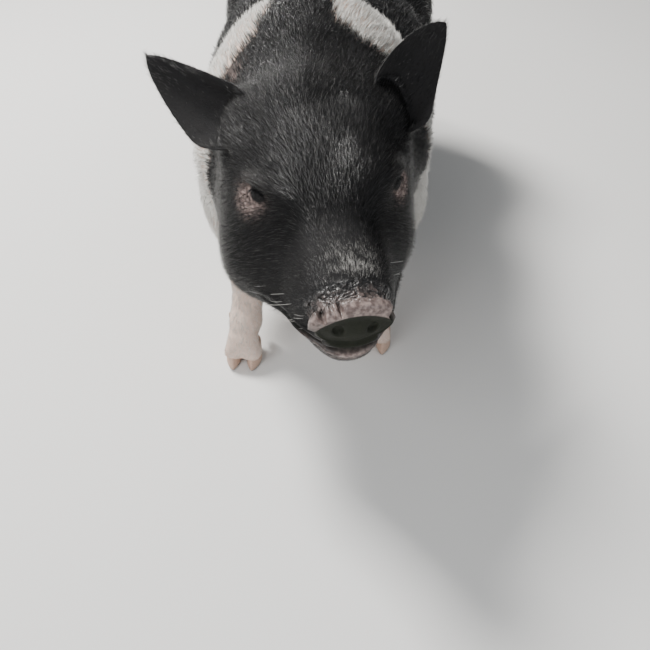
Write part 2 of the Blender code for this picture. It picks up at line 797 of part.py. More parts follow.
def tail_stops():
    """The middle line of the hanging tail, with its share of the thickness."""
    root = skin_point(Vector((0, 0.20, TAIL_HEIGHT)), Vector((0, 1, 0)), 0.2)
    drawn = [(0, -0.012, 0.004), (0, 0.010, 0.002), (0.001, 0.030, -0.008), (0.003, 0.042, -0.030)]
    drawn += [(0.006, 0.046, -0.060), (0.009, 0.045, -0.090), (0.010, 0.043, -0.118)]
    last = len(drawn) - 1
    return [(root + Vector(place), 1 - 0.55 * step / last) for step, place in enumerate(drawn)]


def tail(skin, scratch, into, finish):
    """A thin straight tail with a tassel of locks round its tip."""
    dice = random.Random(SEED + 1)
    stops = tail_stops()
    obj = tube("tail", stops, TAIL_THICKNESS, into, sides=2)
    tip = stops[-1][0]
    for ring in range(2):
        for turn in range(TASSEL_LOCKS):
            angle = 2 * math.pi * (turn + 0.5 * ring) / TASSEL_LOCKS
            up = Vector((math.cos(angle), math.sin(angle), 0))
            lie = (Vector((0, 0, -1)) + up * 0.12).normalized()
            root = tip + Vector((0, 0, 0.018 - 0.022 * ring)) + up * 0.0030
            lock(root, lie, up, TASSEL_LENGTH * dice.uniform(0.85, 1.1), 0.0085, scratch)
    fuse(obj, scratch)
    combine(obj, "DIFFERENCE", skin)
    obj.data.materials.clear()
    obj.data.materials.append(finish)
    return largest_piece(obj)


def fuse(obj, pieces):
    """Joins a collection of closed pieces to an object by one union, and removes them."""
    join = obj.modifiers.new("fuse", "BOOLEAN")
    join.operation = "UNION"
    join.operand_type = "COLLECTION"
    join.collection = pieces
    join.solver = "MANIFOLD"
    bake(obj)
    remove(*list(pieces.objects))
    return largest_piece(obj)


def eye_hole(side, into):
    """The almond opening between the lids, and the socket behind it."""
    frame = HEAD @ eye_frame(side)
    almond = frame @ Matrix.Translation((0, 0, 0.012))
    egg("opening", almond, (LID_HALF_LENGTH * 0.84, LID_HALF_HEIGHT * 0.80, 0.020), into)
    egg("socket", frame, (EYE_RADIUS + GAP,) * 3, into)


def leg_box(side, top, middle, depth, foot_y):
    """The tilted box that holds a leg and leans as the leg does: its frame and two corners."""
    lean = math.atan2(foot_y - middle, top)
    place = Matrix.Translation((side * LEG_TOP_OUT, middle, top)) @ Matrix.Rotation(lean, 4, "X")
    place = place @ Matrix.Rotation(-side * LEG_TILT, 4, "Y")
    inner = -0.97 * top
    wide = (inner, 0.30) if side > 0 else (-0.30, -inner)
    return place, (wide[0], -depth[0], -0.40), (wide[1], depth[1], 0.0)


def feet():
    """The name, side and place of each foot."""
    for side, name in NAMES.items():
        yield f"foreleg_{name}", side, side * STANCE_HALF_WIDTH, FORE_FOOT - FORE_STEPS[side]
        yield f"hindleg_{name}", side, side * STANCE_HALF_WIDTH, HIND_FOOT - HIND_STEPS[side]


def stand_on_origin(objects):
    """Moves everything so that the origin is under the middle of the box round it all."""
    corners = np.array([vert.co for obj in objects for vert in obj.data.vertices])
    low, high = corners.min(axis=0), corners.max(axis=0)
    move = Matrix.Translation((-(low[0] + high[0]) / 2, -(low[1] + high[1]) / 2, -low[2]))
    for obj in objects:
        obj.data.transform(move)


def main():
    for obj in list(bpy.data.objects):
        bpy.data.objects.remove(obj)
    pig = collection("pot_bellied_pig")
    forms = collection("forms", hidden=True)
    cutters = collection("cutters", hidden=True)
    black = material("black_hide", (0.030, 0.030, 0.032), 0.60)
    white = material("pale_hide", (0.62, 0.52, 0.46), 0.65)
    disc = material("snout_skin", (0.10, 0.09, 0.08), 0.40)
    horn = material("claw_horn", (0.55, 0.40, 0.30), 0.45)
    wet = material("eye", (0.02, 0.012, 0.008), 0.08)

    flesh = flesh_form(pig)
    skin = grown(flesh, GAP, cutters)
    for side in NAMES:
        lid_ring(side, forms)
        for height, spread, thickness in EYE_FOLDS:
            eye_fold(side, height, spread, thickness, forms)
    for name, (drop, share) in LIPS.items():
        lip(name, drop, share, forms)
    for number in range(WRINKLES):
        thickness = WRINKLE_THICKNESS * (1 - 0.12 * number)
        snout_fold(WRINKLE_START + WRINKLE_STEP * number, thickness, forms)
    for _, _, x, foot_y in feet():
        for side in NAMES:
            dewclaw(x, side, foot_y, forms)
    crest_locks(forms)
    fuse(flesh, forms)

    for side in NAMES:
        eye_hole(side, cutters)
        nostril(side, cutters)
    mouth_cutter(cutters)
    for _, _, x, foot_y in feet():
        under = Matrix.Translation((x, 0, 0)) @ coronet_matrix(foot_y)
        block("under", under, (-0.05, -0.06, -0.08), (0.05, 0.07, 0), cutters)
    for cutter in list(cutters.objects):
        if cutter != skin:
            combine(flesh, "DIFFERENCE", cutter)
            remove(cutter)

    parts = []
    for name, side, x, foot_y in feet():
        fore = name.startswith("fore")
        reach = (FORE_TOP, FORE_MIDDLE, FORE_DEPTH) if fore else (HIND_TOP, HIND_MIDDLE, HIND_DEPTH)
        place, low, high = leg_box(side, *reach, foot_y)
        parts.append(take(flesh, name, place, low, high, cutters, pig))
        parts[-1].data.materials.append(white if fore else black)
        for out, which in ((side, "outer"), (-side, "inner")):
            parts.append(claw(f"{name}_claw_{which}", x, out, foot_y, pig, horn))
    snout_box = (-0.07, -0.20, MOUTH_HEIGHT), (0.07, DISC_PLACE.y + SNOUT_BACK, 0.03)
    parts.append(take(flesh, "snout", HEAD, *snout_box, cutters, pig))
    parts[-1].data.materials.append(disc)
    nape = HEAD @ Matrix.Translation((0, HEAD_BACK, 0)) @ Matrix.Rotation(HEAD_CUT_TILT, 4, "X")
    parts.append(take(flesh, "head", nape, (-0.3, -0.4, -0.14), (0.3, 0, 0.3), cutters, pig))
    parts[-1].data.materials.append(black)
    base = Matrix.Translation((0, NECK_BACK, SHOULDER_HEIGHT)) @ Matrix.Rotation(NECK_CUT_TILT, 4, "X")
    parts.append(take(flesh, "neck", base, (-0.3, -0.4, -0.5), (0.3, 0, 0.3), cutters, pig))
    parts[-1].data.materials.append(black)
    flesh.name = "torso"
    flesh.data.materials.append(black)
    parts.append(largest_piece(flesh))

    for side, name in NAMES.items():
        parts.append(ear(side, skin, pig, black))
        eye = egg(f"eye_{name}", HEAD @ eye_frame(side), (EYE_RADIUS,) * 3, pig)
        eye.data.materials.append(wet)
        parts.append(eye)
    parts.append(tail(skin, forms, pig, black))
    remove(skin)
    stand_on_origin(parts)


if __name__ == "__main__":
    main()
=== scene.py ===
import math

import bmesh
import bpy
import numpy as np
from mathutils import Matrix, Vector
from mathutils.kdtree import KDTree


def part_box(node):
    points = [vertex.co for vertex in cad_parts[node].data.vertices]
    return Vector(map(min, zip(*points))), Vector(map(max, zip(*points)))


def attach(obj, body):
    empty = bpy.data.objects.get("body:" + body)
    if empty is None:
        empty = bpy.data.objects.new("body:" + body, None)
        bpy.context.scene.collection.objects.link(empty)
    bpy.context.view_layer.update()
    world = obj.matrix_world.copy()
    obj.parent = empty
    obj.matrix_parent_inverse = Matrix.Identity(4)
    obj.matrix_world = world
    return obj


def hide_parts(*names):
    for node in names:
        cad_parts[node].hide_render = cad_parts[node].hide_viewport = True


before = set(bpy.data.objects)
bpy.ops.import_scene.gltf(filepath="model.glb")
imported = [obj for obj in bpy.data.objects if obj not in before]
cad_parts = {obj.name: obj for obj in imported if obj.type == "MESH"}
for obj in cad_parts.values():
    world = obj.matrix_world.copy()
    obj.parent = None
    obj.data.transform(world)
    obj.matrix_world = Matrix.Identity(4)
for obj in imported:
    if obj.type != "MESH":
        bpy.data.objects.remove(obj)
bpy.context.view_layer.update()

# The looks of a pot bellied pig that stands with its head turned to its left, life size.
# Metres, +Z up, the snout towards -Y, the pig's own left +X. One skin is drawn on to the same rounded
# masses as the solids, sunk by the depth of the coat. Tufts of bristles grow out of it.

# Driving dimensions, as in the solids
SHOULDER_HEIGHT = 0.385
BODY_HALF_WIDTH = 0.142
BELLY_CLEARANCE = 0.075
STANCE_HALF_WIDTH = 0.080
HEAD_PLACE = Vector((0.024, -0.296, 0.292))
HEAD_TURN = math.radians(15)
HEAD_NOD = math.radians(-7)
HEAD_ROLL = math.radians(2)
FORE_FOOT = -0.205
HIND_FOOT = 0.222
FORE_STEPS = {-1: 0.046, 1: 0.010}
HIND_STEPS = {-1: -0.012, 1: 0.020}
NECK_FILLET = 0.035
JOWL_SWING = 0.006
TAIL_HEIGHT = 0.312
TAIL_THICKNESS = 0.0100
CLAW_LENGTH = 0.044
CLAW_WIDTH = 0.0215
CLAW_SPACING = 0.0115
TOE_RADII = (0.0118, 0.0110)
CLAW_SLOPE = 0.012
CLAW_TUCKED = 0.0035
DEWCLAW_RADIUS = 0.0066
CORONET_HEIGHT = 0.020
CORONET_TILT = math.radians(14)

# The face, in the head's own frame
EYE_HALF_SPACING = 0.0530
EYE_RADIUS = 0.0112
EYE_DEPTH = 0.0036
EYE_SLANT = 0.10
LID_THICKNESS = 0.0021
LID_HALF_LENGTH = 0.0100
UPPER_LID = 0.0044
LOWER_LID = 0.0042
DISC_HALF_WIDTH = 0.0375
DISC_HALF_HEIGHT = 0.0275
DISC_PLACE = Vector((0, -0.1215, -0.0680))
DISC_TILT = 22
NOSTRIL_SPACING = 0.0150
NOSTRIL_RADII = (0.0054, 0.0155, 0.0074)
NOSTRIL_AT = -0.0125
MOUTH_HEIGHT = -0.0990
MOUTH_CORNER = -0.034

# How far the face's folds stand out or are cut, and how far apart its creases are
EYE_HOLLOW = 0.0058
BROW_FOLD = 0.0084
BROW_HEIGHT = 0.0138
BROW_CREASE = 0.0018
PATCH_FOLDS = 0.0014
PATCH_SPACING = 0.0034
SNOUT_FOLDS = 0.0023
SNOUT_SPACING = 0.0046
FINE_FOLDS = 0.0006
FINE_SPACING = 0.0021
UPPER_LIP = 0.0020
LOWER_LIP = 0.0026
MOUTH_CUT = 0.0056
# The dish and grain of the snout's disc, the rim round it, and the fillets at rim, nostrils and lids
DISC_DISH = 0.0014
DISC_GRAIN = 0.0005
RIM_RADIUS = 0.0027
UPPER_RIM_EXTRA = 0.0023
RIM_FILLET = 0.0040
UPPER_RIM_FILLET = 0.0080
NOSTRIL_FILLET = 0.0025
LID_FILLET = 0.0040

# The ears, in the head's own frame
EAR_ROOT = Vector((0.077, 0.064, 0.042))
EAR_OUT = {1: 0.61, -1: 0.69}
EAR_BACK = {1: 0.46, -1: 0.52}
EAR_UP = {1: 0.65, -1: 0.445}
EAR_FACING = Vector((0.10, -0.90, 0.35))
EAR_LENGTH = 0.095
EAR_WIDTH = 0.072
# The width of each edge as a share of the whole, and how full it runs towards the tip
EAR_OUTER = {1: (0.93, 1.20), -1: (1.06, 1.35)}
EAR_INNER = {1: (1.02, 1.90), -1: (0.80, 1.05)}
EAR_ROUNDING = 0.66
EAR_TIP = 0.12
EAR_CUP = 1.25
EAR_SUNK = 0.020
EAR_THICKNESS = 0.0026
EAR_ROOT_THICKNESS = 0.0100

# The coat's markings: the black cap that runs back over the nape, the band's back edge, the socks
CAP_SIDE = -0.012
CAP_HALF_WIDTH = 0.036
CAP_START = -0.165
CAP_LENGTH = 0.078
BAND_START = 0.096
BAND_END = -0.042
SOCK_EDGE = (0.052, 0.040)
PINK_SPOT = np.array((-0.067, 0.1157, 0.0645))
GRIZZLED_SPOT = np.array((0.083, 0.091, 0.067))

# How fine the skin's two first meshes are, and how deep it lies under the coat's outline
ROUGH_VOXEL = 0.0060
SKIN_VOXEL = 0.0031
COAT_DEPTH = 0.0035

# The coat: length, width, lift off the skin in degrees, and tufts on a square centimetre
COAT = {
    "muzzle": (0.0058, 0.00036, 11, 150),
    "face": (0.0100, 0.00040, 13, 104),
    "cheek": (0.0125, 0.00042, 15, 92),
    "neck": (0.0175, 0.00063, 16, 20),
    "body": (0.0215, 0.00086, 15, 10.4),
    "leg": (0.0072, 0.00046, 11, 38),
    "ear": (0.0072, 0.00036, 13, 74),
    "tail": (0.0140, 0.00055, 20, 20),
}
COAT_PARTS = ("face", "cheeks", "ears", "neck", "shoulders", "back", "flanks", "legs", "tail")
# These parts have straight tufts. In the others a tuft has a bend.
STRAIGHT_PARTS = ("face", "cheeks", "ears", "legs")
MOST_TRIANGLES = 199000
# How tufts differ: how far they stray and swirl in degrees, and their shares of length, width and lift
STRAY = 9
SWIRL = 22
SWIRL_SIZE = 0.022
LENGTHS = (0.65, 1.15)
WIDTHS = (0.75, 1.20)
LIFT_SPREAD = 0.30
TUFTS_IN_CLUMP = 9
CLUMPING = 0.60
# How much thinner the hair is by the eye and the ear's root, and what share grows in the ear's cup
THINNER_BY_EYE = 0.72
THINNER_BY_EAR = 0.60
CUP_SHARE = 0.30
# How deep a tuft's foot is sunk in the skin, and the size of its patch on the bake map
TUFT_SUNK = 0.0004
PATCH = 0.003
# Hairs that aren't part of the coat
WHISKERS = 46
WHISKER_WIDTH = 0.00036
LASHES = 64
LASH_WIDTH = 0.00042
LASH_LENGTH = 0.0085
TASSEL_HAIRS = 420
TASSEL_HAIR_WIDTH = 0.0007

# The camera stands where the photograph was taken from
CAMERA_PLACE = Vector((0.055, -0.849, 0.678))
CAMERA_PITCH = math.radians(45.9)
CAMERA_YAW = math.radians(3.3)
CAMERA_ANGLE = math.radians(48.5)

# The soft lights: place, width, power and colour of each, and the point they are turned to
LAMPS = {
    "key": ((-1.0, 0.75, 1.9), 0.6, 104, (1.0, 0.98, 0.95)),
    "fill": ((1.5, -1.3, 1.2), 1.8, 15, (0.94, 0.97, 1.0)),
    "front": ((-0.9, -1.5, 1.4), 1.3, 26, (1.0, 1.0, 1.0)),
}
LAMPS_AIM = Vector((0, -0.15, 0.2))

# The pig's own sides, and the random numbers that all noise is made from
NAMES = {1: "left", -1: "right"}
SEED = 7
LATTICE = np.random.default_rng(SEED).random((32, 32, 32))


def fade(low, high, values):
    """A soft step from 0 at low to 1 at high."""
    share = np.clip((values - low) / (high - low), 0, 1)
    return share * share * (3 - 2 * share)


def bell(values, width):
    return np.exp(-((values / width) ** 2))


def mottle(points, size):
    """Smooth noise from 0 to 1 with blobs of about that size along x, y and z."""
    cell = points / np.array(size)
    low = np.floor(cell).astype(int)
    part = cell - low
    part = part * part * (3 - 2 * part)
    shares = ((1 - part).T, part.T)
    places = ((low % len(LATTICE)).T, ((low + 1) % len(LATTICE)).T)
    total = np.zeros(len(points))
    for a, b, c in np.ndindex(2, 2, 2):
        share = shares[a][0] * shares[b][1] * shares[c][2]
        total += share * LATTICE[places[a][0], places[b][1], places[c][2]]
    return total


def ridges(points, size):
    """Noise with sharp crests at 1 and rounded valleys at 0."""
    return 1 - np.abs(2 * mottle(points, size) - 1) * 1.6


def unit(vectors):
    return vectors / np.maximum(np.linalg.norm(vectors, axis=1, keepdims=True), 1e-9)


def laid(lies, normals):
    """Directions turned flat on to a surface with those normals."""
    return unit(lies - normals * (lies * normals).sum(axis=1, keepdims=True))


def head_matrix():
    """From the head's own frame (x left, y back, z up, origin midway between the eyes) to the world."""
    turn = Matrix.Rotation(HEAD_TURN, 4, "Z")
    nod = Matrix.Rotation(HEAD_NOD, 4, "X")
    roll = Matrix.Rotation(HEAD_ROLL, 4, "Y")
    return Matrix.Translation(HEAD_PLACE) @ turn @ nod @ roll


HEAD = head_matrix()


def in_frame(matrix, points):
    """World points as they are in the frame of a matrix."""
    back = np.array(matrix.inverted())
    return points @ back[:3, :3].T + back[:3, 3]


def out_of_frame(matrix, points):
    out = np.array(matrix)
    return points @ out[:3, :3].T + out[:3, 3]


def turned(matrix, vectors):
    return vectors @ np.array(matrix)[:3, :3].T


def mirrored(points):
    return points * np.where(points[:, :1] < 0, (-1, 1, 1), (1, 1, 1))


def ball(centre, radii, tilt=0.0):
    """A rounded mass: an ellipsoid, tilted about the x axis by some degrees."""
    turn = np.array(Matrix.Rotation(math.radians(tilt), 3, "X"))
    return {"kind": "ball", "at": np.array(centre), "radii": np.array(radii), "turn": turn}


def limb(start, end, start_radius, end_radius, squash=(1.0, 1.0, 1.0)):
    """A tapered rod with round ends. squash widens or flattens it along x, y and z."""
    return {
        "kind": "limb",
        "at": np.array(start),
        "to": np.array(end),
        "radii": np.array((start_radius, end_radius)),
        "squash": np.array(squash),
    }


def mass_distance(mass, points):
    """Distance from each point to one mass, less than zero inside it."""
    if mass["kind"] == "ball":
        local = (points - mass["at"]) @ mass["turn"]
        near = np.linalg.norm(local / mass["radii"], axis=1)
        slope = np.linalg.norm(local / mass["radii"] ** 2, axis=1)
        return near * (near - 1) / np.maximum(slope, 1e-9)
    along = (mass["to"] - mass["at"]) / mass["squash"]
    local = (points - mass["at"]) / mass["squash"]
    share = np.clip(local @ along / (along @ along), 0, 1)
    radius = mass["radii"][0] + (mass["radii"][1] - mass["radii"][0]) * share
    return np.linalg.norm(local - share[:, None] * along, axis=1) - radius


def run_together(first, second, fillet):
    """The smooth union of two distances, with a fillet of about that size where they meet."""
    share = np.clip(0.5 + 0.5 * (second - first) / fillet, 0, 1)
    return second + (first - second) * share - fillet * share * (1 - share)


def masses_distance(masses, points):
    """Distance to a list of (mass, fillet), each run into those before it."""
    distance = mass_distance(masses[0][0], points)
    for mass, fillet in masses[1:]:
        distance = run_together(distance, mass_distance(mass, points), fillet)
    return distance


def head_masses():
    """The left half of the head, in the head's own frame."""
    return [
        (ball((0, 0.052, 0.002), (0.076, 0.070, 0.076)), 0),
        (ball((0, 0.008, -0.006), (0.060, 0.050, 0.050), 25), 0.030),
        (ball((0.062, 0.062, 0.032), (0.026, 0.034, 0.034)), 0.025),
        (limb((0, 0.002, -0.040), (0, -0.078, -0.064), 0.055, 0.0365, (1.02, 1, 1)), 0.030),
        (limb((0, -0.078, -0.062), (0, -0.106, -0.0655), 0.0330, 0.0275, (1.14, 1, 1)), 0.014),
        (ball(tuple(DISC_PLACE), (DISC_HALF_WIDTH, 0.0075, DISC_HALF_HEIGHT), DISC_TILT), 0.005),
        (ball((0, -0.056, -0.044), (0.033, 0.040, 0.026), 20), 0.020),
        (ball((0.038, 0.000, 0.012), (0.021, 0.026, 0.017), 20), 0.020),
        (ball((0.048, 0.036, -0.022), (0.037, 0.050, 0.038), -15), 0.030),
        (ball((0.051, 0.036, -0.066), (0.040, 0.062, 0.056), 10), 0.030),
        (limb((0.046, 0.005, -0.070), (0.018, -0.070, -0.080), 0.042, 0.0240), 0.030),
        (limb((0, 0.030, -0.092), (0, -0.072, -0.100), 0.048, 0.0255, (1.25, 1, 1)), 0.028),
        (ball((0, -0.096, -0.1060), (0.0265, 0.0235, 0.0160), 4), 0.012),
    ]


def digits(x, foot_y):
    """The two toes of a foot, just above its claws."""
    made = []
    for out in (-1, 1):
        top = (x + out * 0.006, foot_y - 0.004, 0.034)
        tip = (x + out * CLAW_SPACING, foot_y - 0.012, CORONET_HEIGHT)
        made.append((limb(top, tip, *TOE_RADII), 0.006))
    return made


def foreleg_masses(side, step):
    """A foreleg, its foot moved forward by step."""
    x = side * STANCE_HALF_WIDTH
    foot_y = FORE_FOOT - step
    shoulder = (side * 0.066, -0.145, 0.235)
    elbow = (side * 0.080, -0.142, 0.168)
    knee = (x - side * 0.009, -0.180 - 0.6 * step, 0.104)
    fetlock = (x - side * 0.002, foot_y + 0.012, 0.050)
    toe = (x, foot_y - 0.004, 0.024)
    return [
        (limb(shoulder, elbow, 0.070, 0.052, (0.82, 1.2, 1)), 0.05),
        (limb(elbow, knee, 0.048, 0.0235, (0.95, 1.1, 1)), 0.03),
        (limb(knee, fetlock, 0.0225, 0.0162), 0.012),
        (limb(fetlock, toe, 0.0165, 0.0168), 0.012),
    ] + digits(x, foot_y)


def hindleg_masses(side, step):
    """A hind leg, its foot moved forward by step."""
    x = side * STANCE_HALF_WIDTH
    foot_y = HIND_FOOT - step
    hip = (side * 0.070, 0.215, 0.250)
    stifle = (side * 0.096, 0.160 - 0.5 * step, 0.180)
    hock = (x, 0.266 - 0.8 * step, 0.124)
    fetlock = (x, foot_y + 0.016, 0.050)
    toe = (x, foot_y - 0.002, 0.024)
    return [
        (limb(hip, stifle, 0.090, 0.064, (0.80, 1, 1)), 0.05),
        (limb(stifle, hock, 0.054, 0.0265, (0.85, 1, 1)), 0.03),
        (limb(hip, hock, 0.074, 0.0250, (0.80, 1, 1)), 0.03),
        (limb(hock, fetlock, 0.0240, 0.0170, (0.92, 1.1, 1)), 0.012),
        (limb(fetlock, toe, 0.0170, 0.0168), 0.012),
    ] + digits(x, foot_y)


def trunk_masses():
    """The trunk and neck: chest, barrel, hanging belly, hams, and a short thick neck."""
    top = SHOULDER_HEIGHT
    nape = HEAD @ Vector((0, 0.070, 0.004))
    throat = HEAD @ Vector((0, 0.075, -0.060))
    return [
        (ball((0, -0.135, top - 0.134), (0.112, 0.125, 0.134)), 0),
        (ball((0, 0.030, top - 0.162), (BODY_HALF_WIDTH, 0.200, 0.132)), 0.06),
        (ball((0, 0.035, BELLY_CLEARANCE + 0.098), (0.130, 0.160, 0.090)), 0.06),
        (ball((0, 0.205, top - 0.132), (0.124, 0.128, 0.125), -8), 0.06),
        (ball((0, -0.185, 0.210), (0.084, 0.070, 0.085)), 0.05),
        (limb((0, -0.130, 0.275), tuple(nape), 0.108, 0.080, (0.88, 1, 1)), 0.05),
        (limb((0, -0.150, 0.225), tuple(throat), 0.104, 0.074, (0.90, 1, 1)), 0.05),
    ]


HEAD_MASSES = head_masses()
TRUNK_MASSES = trunk_masses()
FORELEG_MASSES = []
HINDLEG_MASSES = []
LEG_MASSES = []
for leg_side in (-1, 1):
    foreleg = foreleg_masses(leg_side, FORE_STEPS[leg_side])
    hindleg = hindleg_masses(leg_side, HIND_STEPS[leg_side])
    FORELEG_MASSES += foreleg
    HINDLEG_MASSES += hindleg
    LEG_MASSES += foreleg + hindleg
BODY_MASSES = TRUNK_MASSES + LEG_MASSES


def head_place(points):
    """World points in the head's frame, with the jowls swung a little to the pig's right."""
    local = in_frame(HEAD, points)
    low = np.clip(-local[:, 2] / 0.08, 0, 1) * np.clip((local[:, 1] + 0.06) / 0.06, 0, 1)
    local[:, 0] += JOWL_SWING * low
    return local


def head_places(points):
    """World points in the head's frame, and the same with its right half laid over its left one."""
    local = head_place(points)
    return local, mirrored(local)


def flesh_distance(points):
    """Distance from the outside of the pig, less than zero inside it."""
    head = masses_distance(HEAD_MASSES, mirrored(head_place(points)))
    body = masses_distance(BODY_MASSES, points)
    return run_together(head, body, NECK_FILLET)


def come_out(starts, directions, distance, reach=0.12):
    """Where straight lines from inside come out through a surface."""
    near = np.zeros((len(starts), 1))
    far = np.full((len(starts), 1), reach)
    for _ in range(20):
        middle = (near + far) / 2
        inside = distance(starts + directions * middle)[:, None] < 0
        near = np.where(inside, middle, near)
        far = np.where(inside, far, middle)
    return starts + directions * near


def eye_matrix():
    """The left eyeball's centre in the head's frame, with x along the lids, y up and z along the gaze."""
    gaze = Vector((0.74, -0.66, 0.12)).normalized()
    start = HEAD @ (Vector((EYE_HALF_SPACING, 0, 0)) - gaze * 0.035)
    out = HEAD.to_3x3() @ gaze
    seen = come_out(np.array([start]), np.array([out]), flesh_distance)[0]
    level = Vector((0.66, 0.74, EYE_SLANT)).normalized()
    up = gaze.cross(level).normalized()
    if up.z < 0:
        up = -up
    level = up.cross(gaze).normalized()
    centre = HEAD.inverted() @ Vector(seen) - gaze * (EYE_RADIUS + EYE_DEPTH)
    return Matrix.Translation(centre) @ Matrix((level, up, gaze)).transposed().to_4x4()


EYE = eye_matrix()
EYES = {side: HEAD @ Matrix.Diagonal((side, 1, 1, 1)) @ EYE for side in NAMES}


def tail_masses():
    """A thin straight tail that hangs down behind the hams, and its middle line."""
    start = np.array([(0, 0.20, TAIL_HEIGHT)])
    root = come_out(start, np.array([(0, 1.0, 0)]), flesh_distance, 0.2)[0]
    drawn = [(0, -0.012, 0.004), (0, 0.010, 0.002), (0.001, 0.030, -0.008), (0.003, 0.042, -0.030)]
    drawn += [(0.006, 0.046, -0.060), (0.009, 0.045, -0.090), (0.010, 0.043, -0.118)]
    line = [root + np.array(place) for place in drawn]
    radii = [TAIL_THICKNESS * (1 - 0.55 * step / (len(line) - 1)) for step in range(len(line))]
    masses = []
    for step in range(len(line) - 1):
        masses.append((limb(line[step], line[step + 1], radii[step], radii[step + 1]), 0.004))
    return masses, line


TAIL_MASSES, TAIL_LINE = tail_masses()
DISC = Matrix.Translation(DISC_PLACE) @ Matrix.Rotation(math.radians(DISC_TILT), 4, "X")


def disc_place(local):
    """Points of the head in the frame of the snout's disc, and their share of its radius."""
    place = in_frame(DISC, local)
    share = np.hypot(place[:, 0] / DISC_HALF_WIDTH, place[:, 2] / DISC_HALF_HEIGHT)
    return place, share


def upper_rim(disc):
    """The share of the disc's rim that is thick and fleshy: its upper edge."""
    return fade(-0.25, 0.75, disc[:, 2] / DISC_HALF_HEIGHT)


def mouth_rise(local):
    """How far points of the head are above the line of the mouth."""
    back = np.clip((local[:, 1] + 0.120) / 0.085, 0, 1)
    return local[:, 2] - (MOUTH_HEIGHT + 0.010 * back + 0.006 * np.sin(math.pi * back))


def wrinkled_band(local):
    """The creased skin over the top and sides of the snout, just behind its rim."""
    place, _ = disc_place(local)
    band = fade(0.0310, 0.0250, place[:, 1]) * fade(-0.016, 0.004, place[:, 2])
    some = (band > 0) & (place[:, 1] > -0.004)
    band[~some] = 0
    start = 0.0080 * mottle(place[some], (0.016, 0.020, 0.016)) + place[some, 1]
    band[some] *= fade(0.0060, 0.0105, start)
    return band


def folds_within(share, place, size):
    """The fold tops where a share is more than nought, and 0 elsewhere."""
    found = np.zeros(len(place))
    some = share > 0.002
    found[some] = fold_tops(place[some], size)
    return found


def fold_tops(place, size):
    """Fine winding creases in bare skin, 0 in a crease and 1 on top of a fold."""
    bent = place + 0.9 * size * (mottle(place, (size * 2.5,) * 3) - 0.5)[:, None]
    first = np.abs(2 * mottle(bent, (size * 1.5, size * 0.85, size * 1.1)) - 1)
    second = np.abs(2 * mottle(bent + 0.37, (size, size * 1.3, size)) - 1)
    return np.clip(np.minimum(2.4 * first, 3.4 * second), 0, 1) ** 0.6


def lid_opening(place):
    """Distance across the gaze from the almond between the lids, less than zero inside it."""
    bow = 1 - (place[:, 0] / LID_HALF_LENGTH) ** 2
    return np.maximum(place[:, 1] - UPPER_LID * bow, -LOWER_LID * bow - place[:, 1])


def face_relief(local):
    """How far folds, lips, rim and wrinkles stand out of the face's skin."""
    near = mirrored(local)
    eye = in_frame(EYE, near)
    from_eye = np.hypot(eye[:, 0], eye[:, 1])
    front = fade(-0.030, -0.005, eye[:, 2])
    relief = -EYE_HOLLOW * bell(from_eye, 0.0135) * front
    arch = eye[:, 1] - BROW_HEIGHT + 0.20 * np.abs(eye[:, 0])
    relief += BROW_FOLD * bell(arch, 0.0056) * bell(eye[:, 0], 0.0170) * front
    relief -= BROW_CREASE * bell(arch + 0.0066, 0.0014) * bell(eye[:, 0], 0.0130) * front
    patch = eye_patch(near)
    relief += PATCH_FOLDS * patch * (folds_within(patch, eye, PATCH_SPACING) - 0.5)
    disc, share = disc_place(local)
    band = wrinkled_band(local)
    relief += SNOUT_FOLDS * band * (folds_within(band, disc, SNOUT_SPACING) - 0.55)
    fine = fade(0.0010, 0.0060, disc[:, 1]) * fade(0.035, 0.030, disc[:, 1])
    fine *= fade(-0.02, 0.0, disc[:, 2])
    relief += FINE_FOLDS * fine * (folds_within(fine, disc, FINE_SPACING) - 0.5)
    mouth = mouth_rise(near)
    lips = fade(MOUTH_CORNER + 0.010, MOUTH_CORNER - 0.012, near[:, 1])
    lips *= fade(-0.02, -0.05, near[:, 2])
    relief += lips * UPPER_LIP * bell(mouth - 0.0046, 0.0030)
    relief += lips * LOWER_LIP * bell(mouth + 0.0048, 0.0034)
    relief -= lips * MOUTH_CUT * bell(mouth, 0.0015)
    face = fade(0.004, -0.004, disc[:, 1]) * (share < 1)
    relief -= DISC_DISH * face * (1 - share**2)
    relief += DISC_GRAIN * face * (mottle(local, (0.006, 0.006, 0.006)) - 0.5)
    return relief


def coat_depth(points, local, head_share):
    """How deep the skin lies under the outline of the coat."""
    head = 0.0006 + 0.0016 * fade(-0.08, 0.03, local[:, 1])
    leg = fade(0.03, 0.20, points[:, 2])
    body = 0.0008 + (COAT_DEPTH - 0.0008) * leg
    return head * head_share + body * (1 - head_share)


def plain_distance(points):
    """Distance from the pig's skin before its fine folds, lids and lips are cut."""
    return skin_distance(points, False)


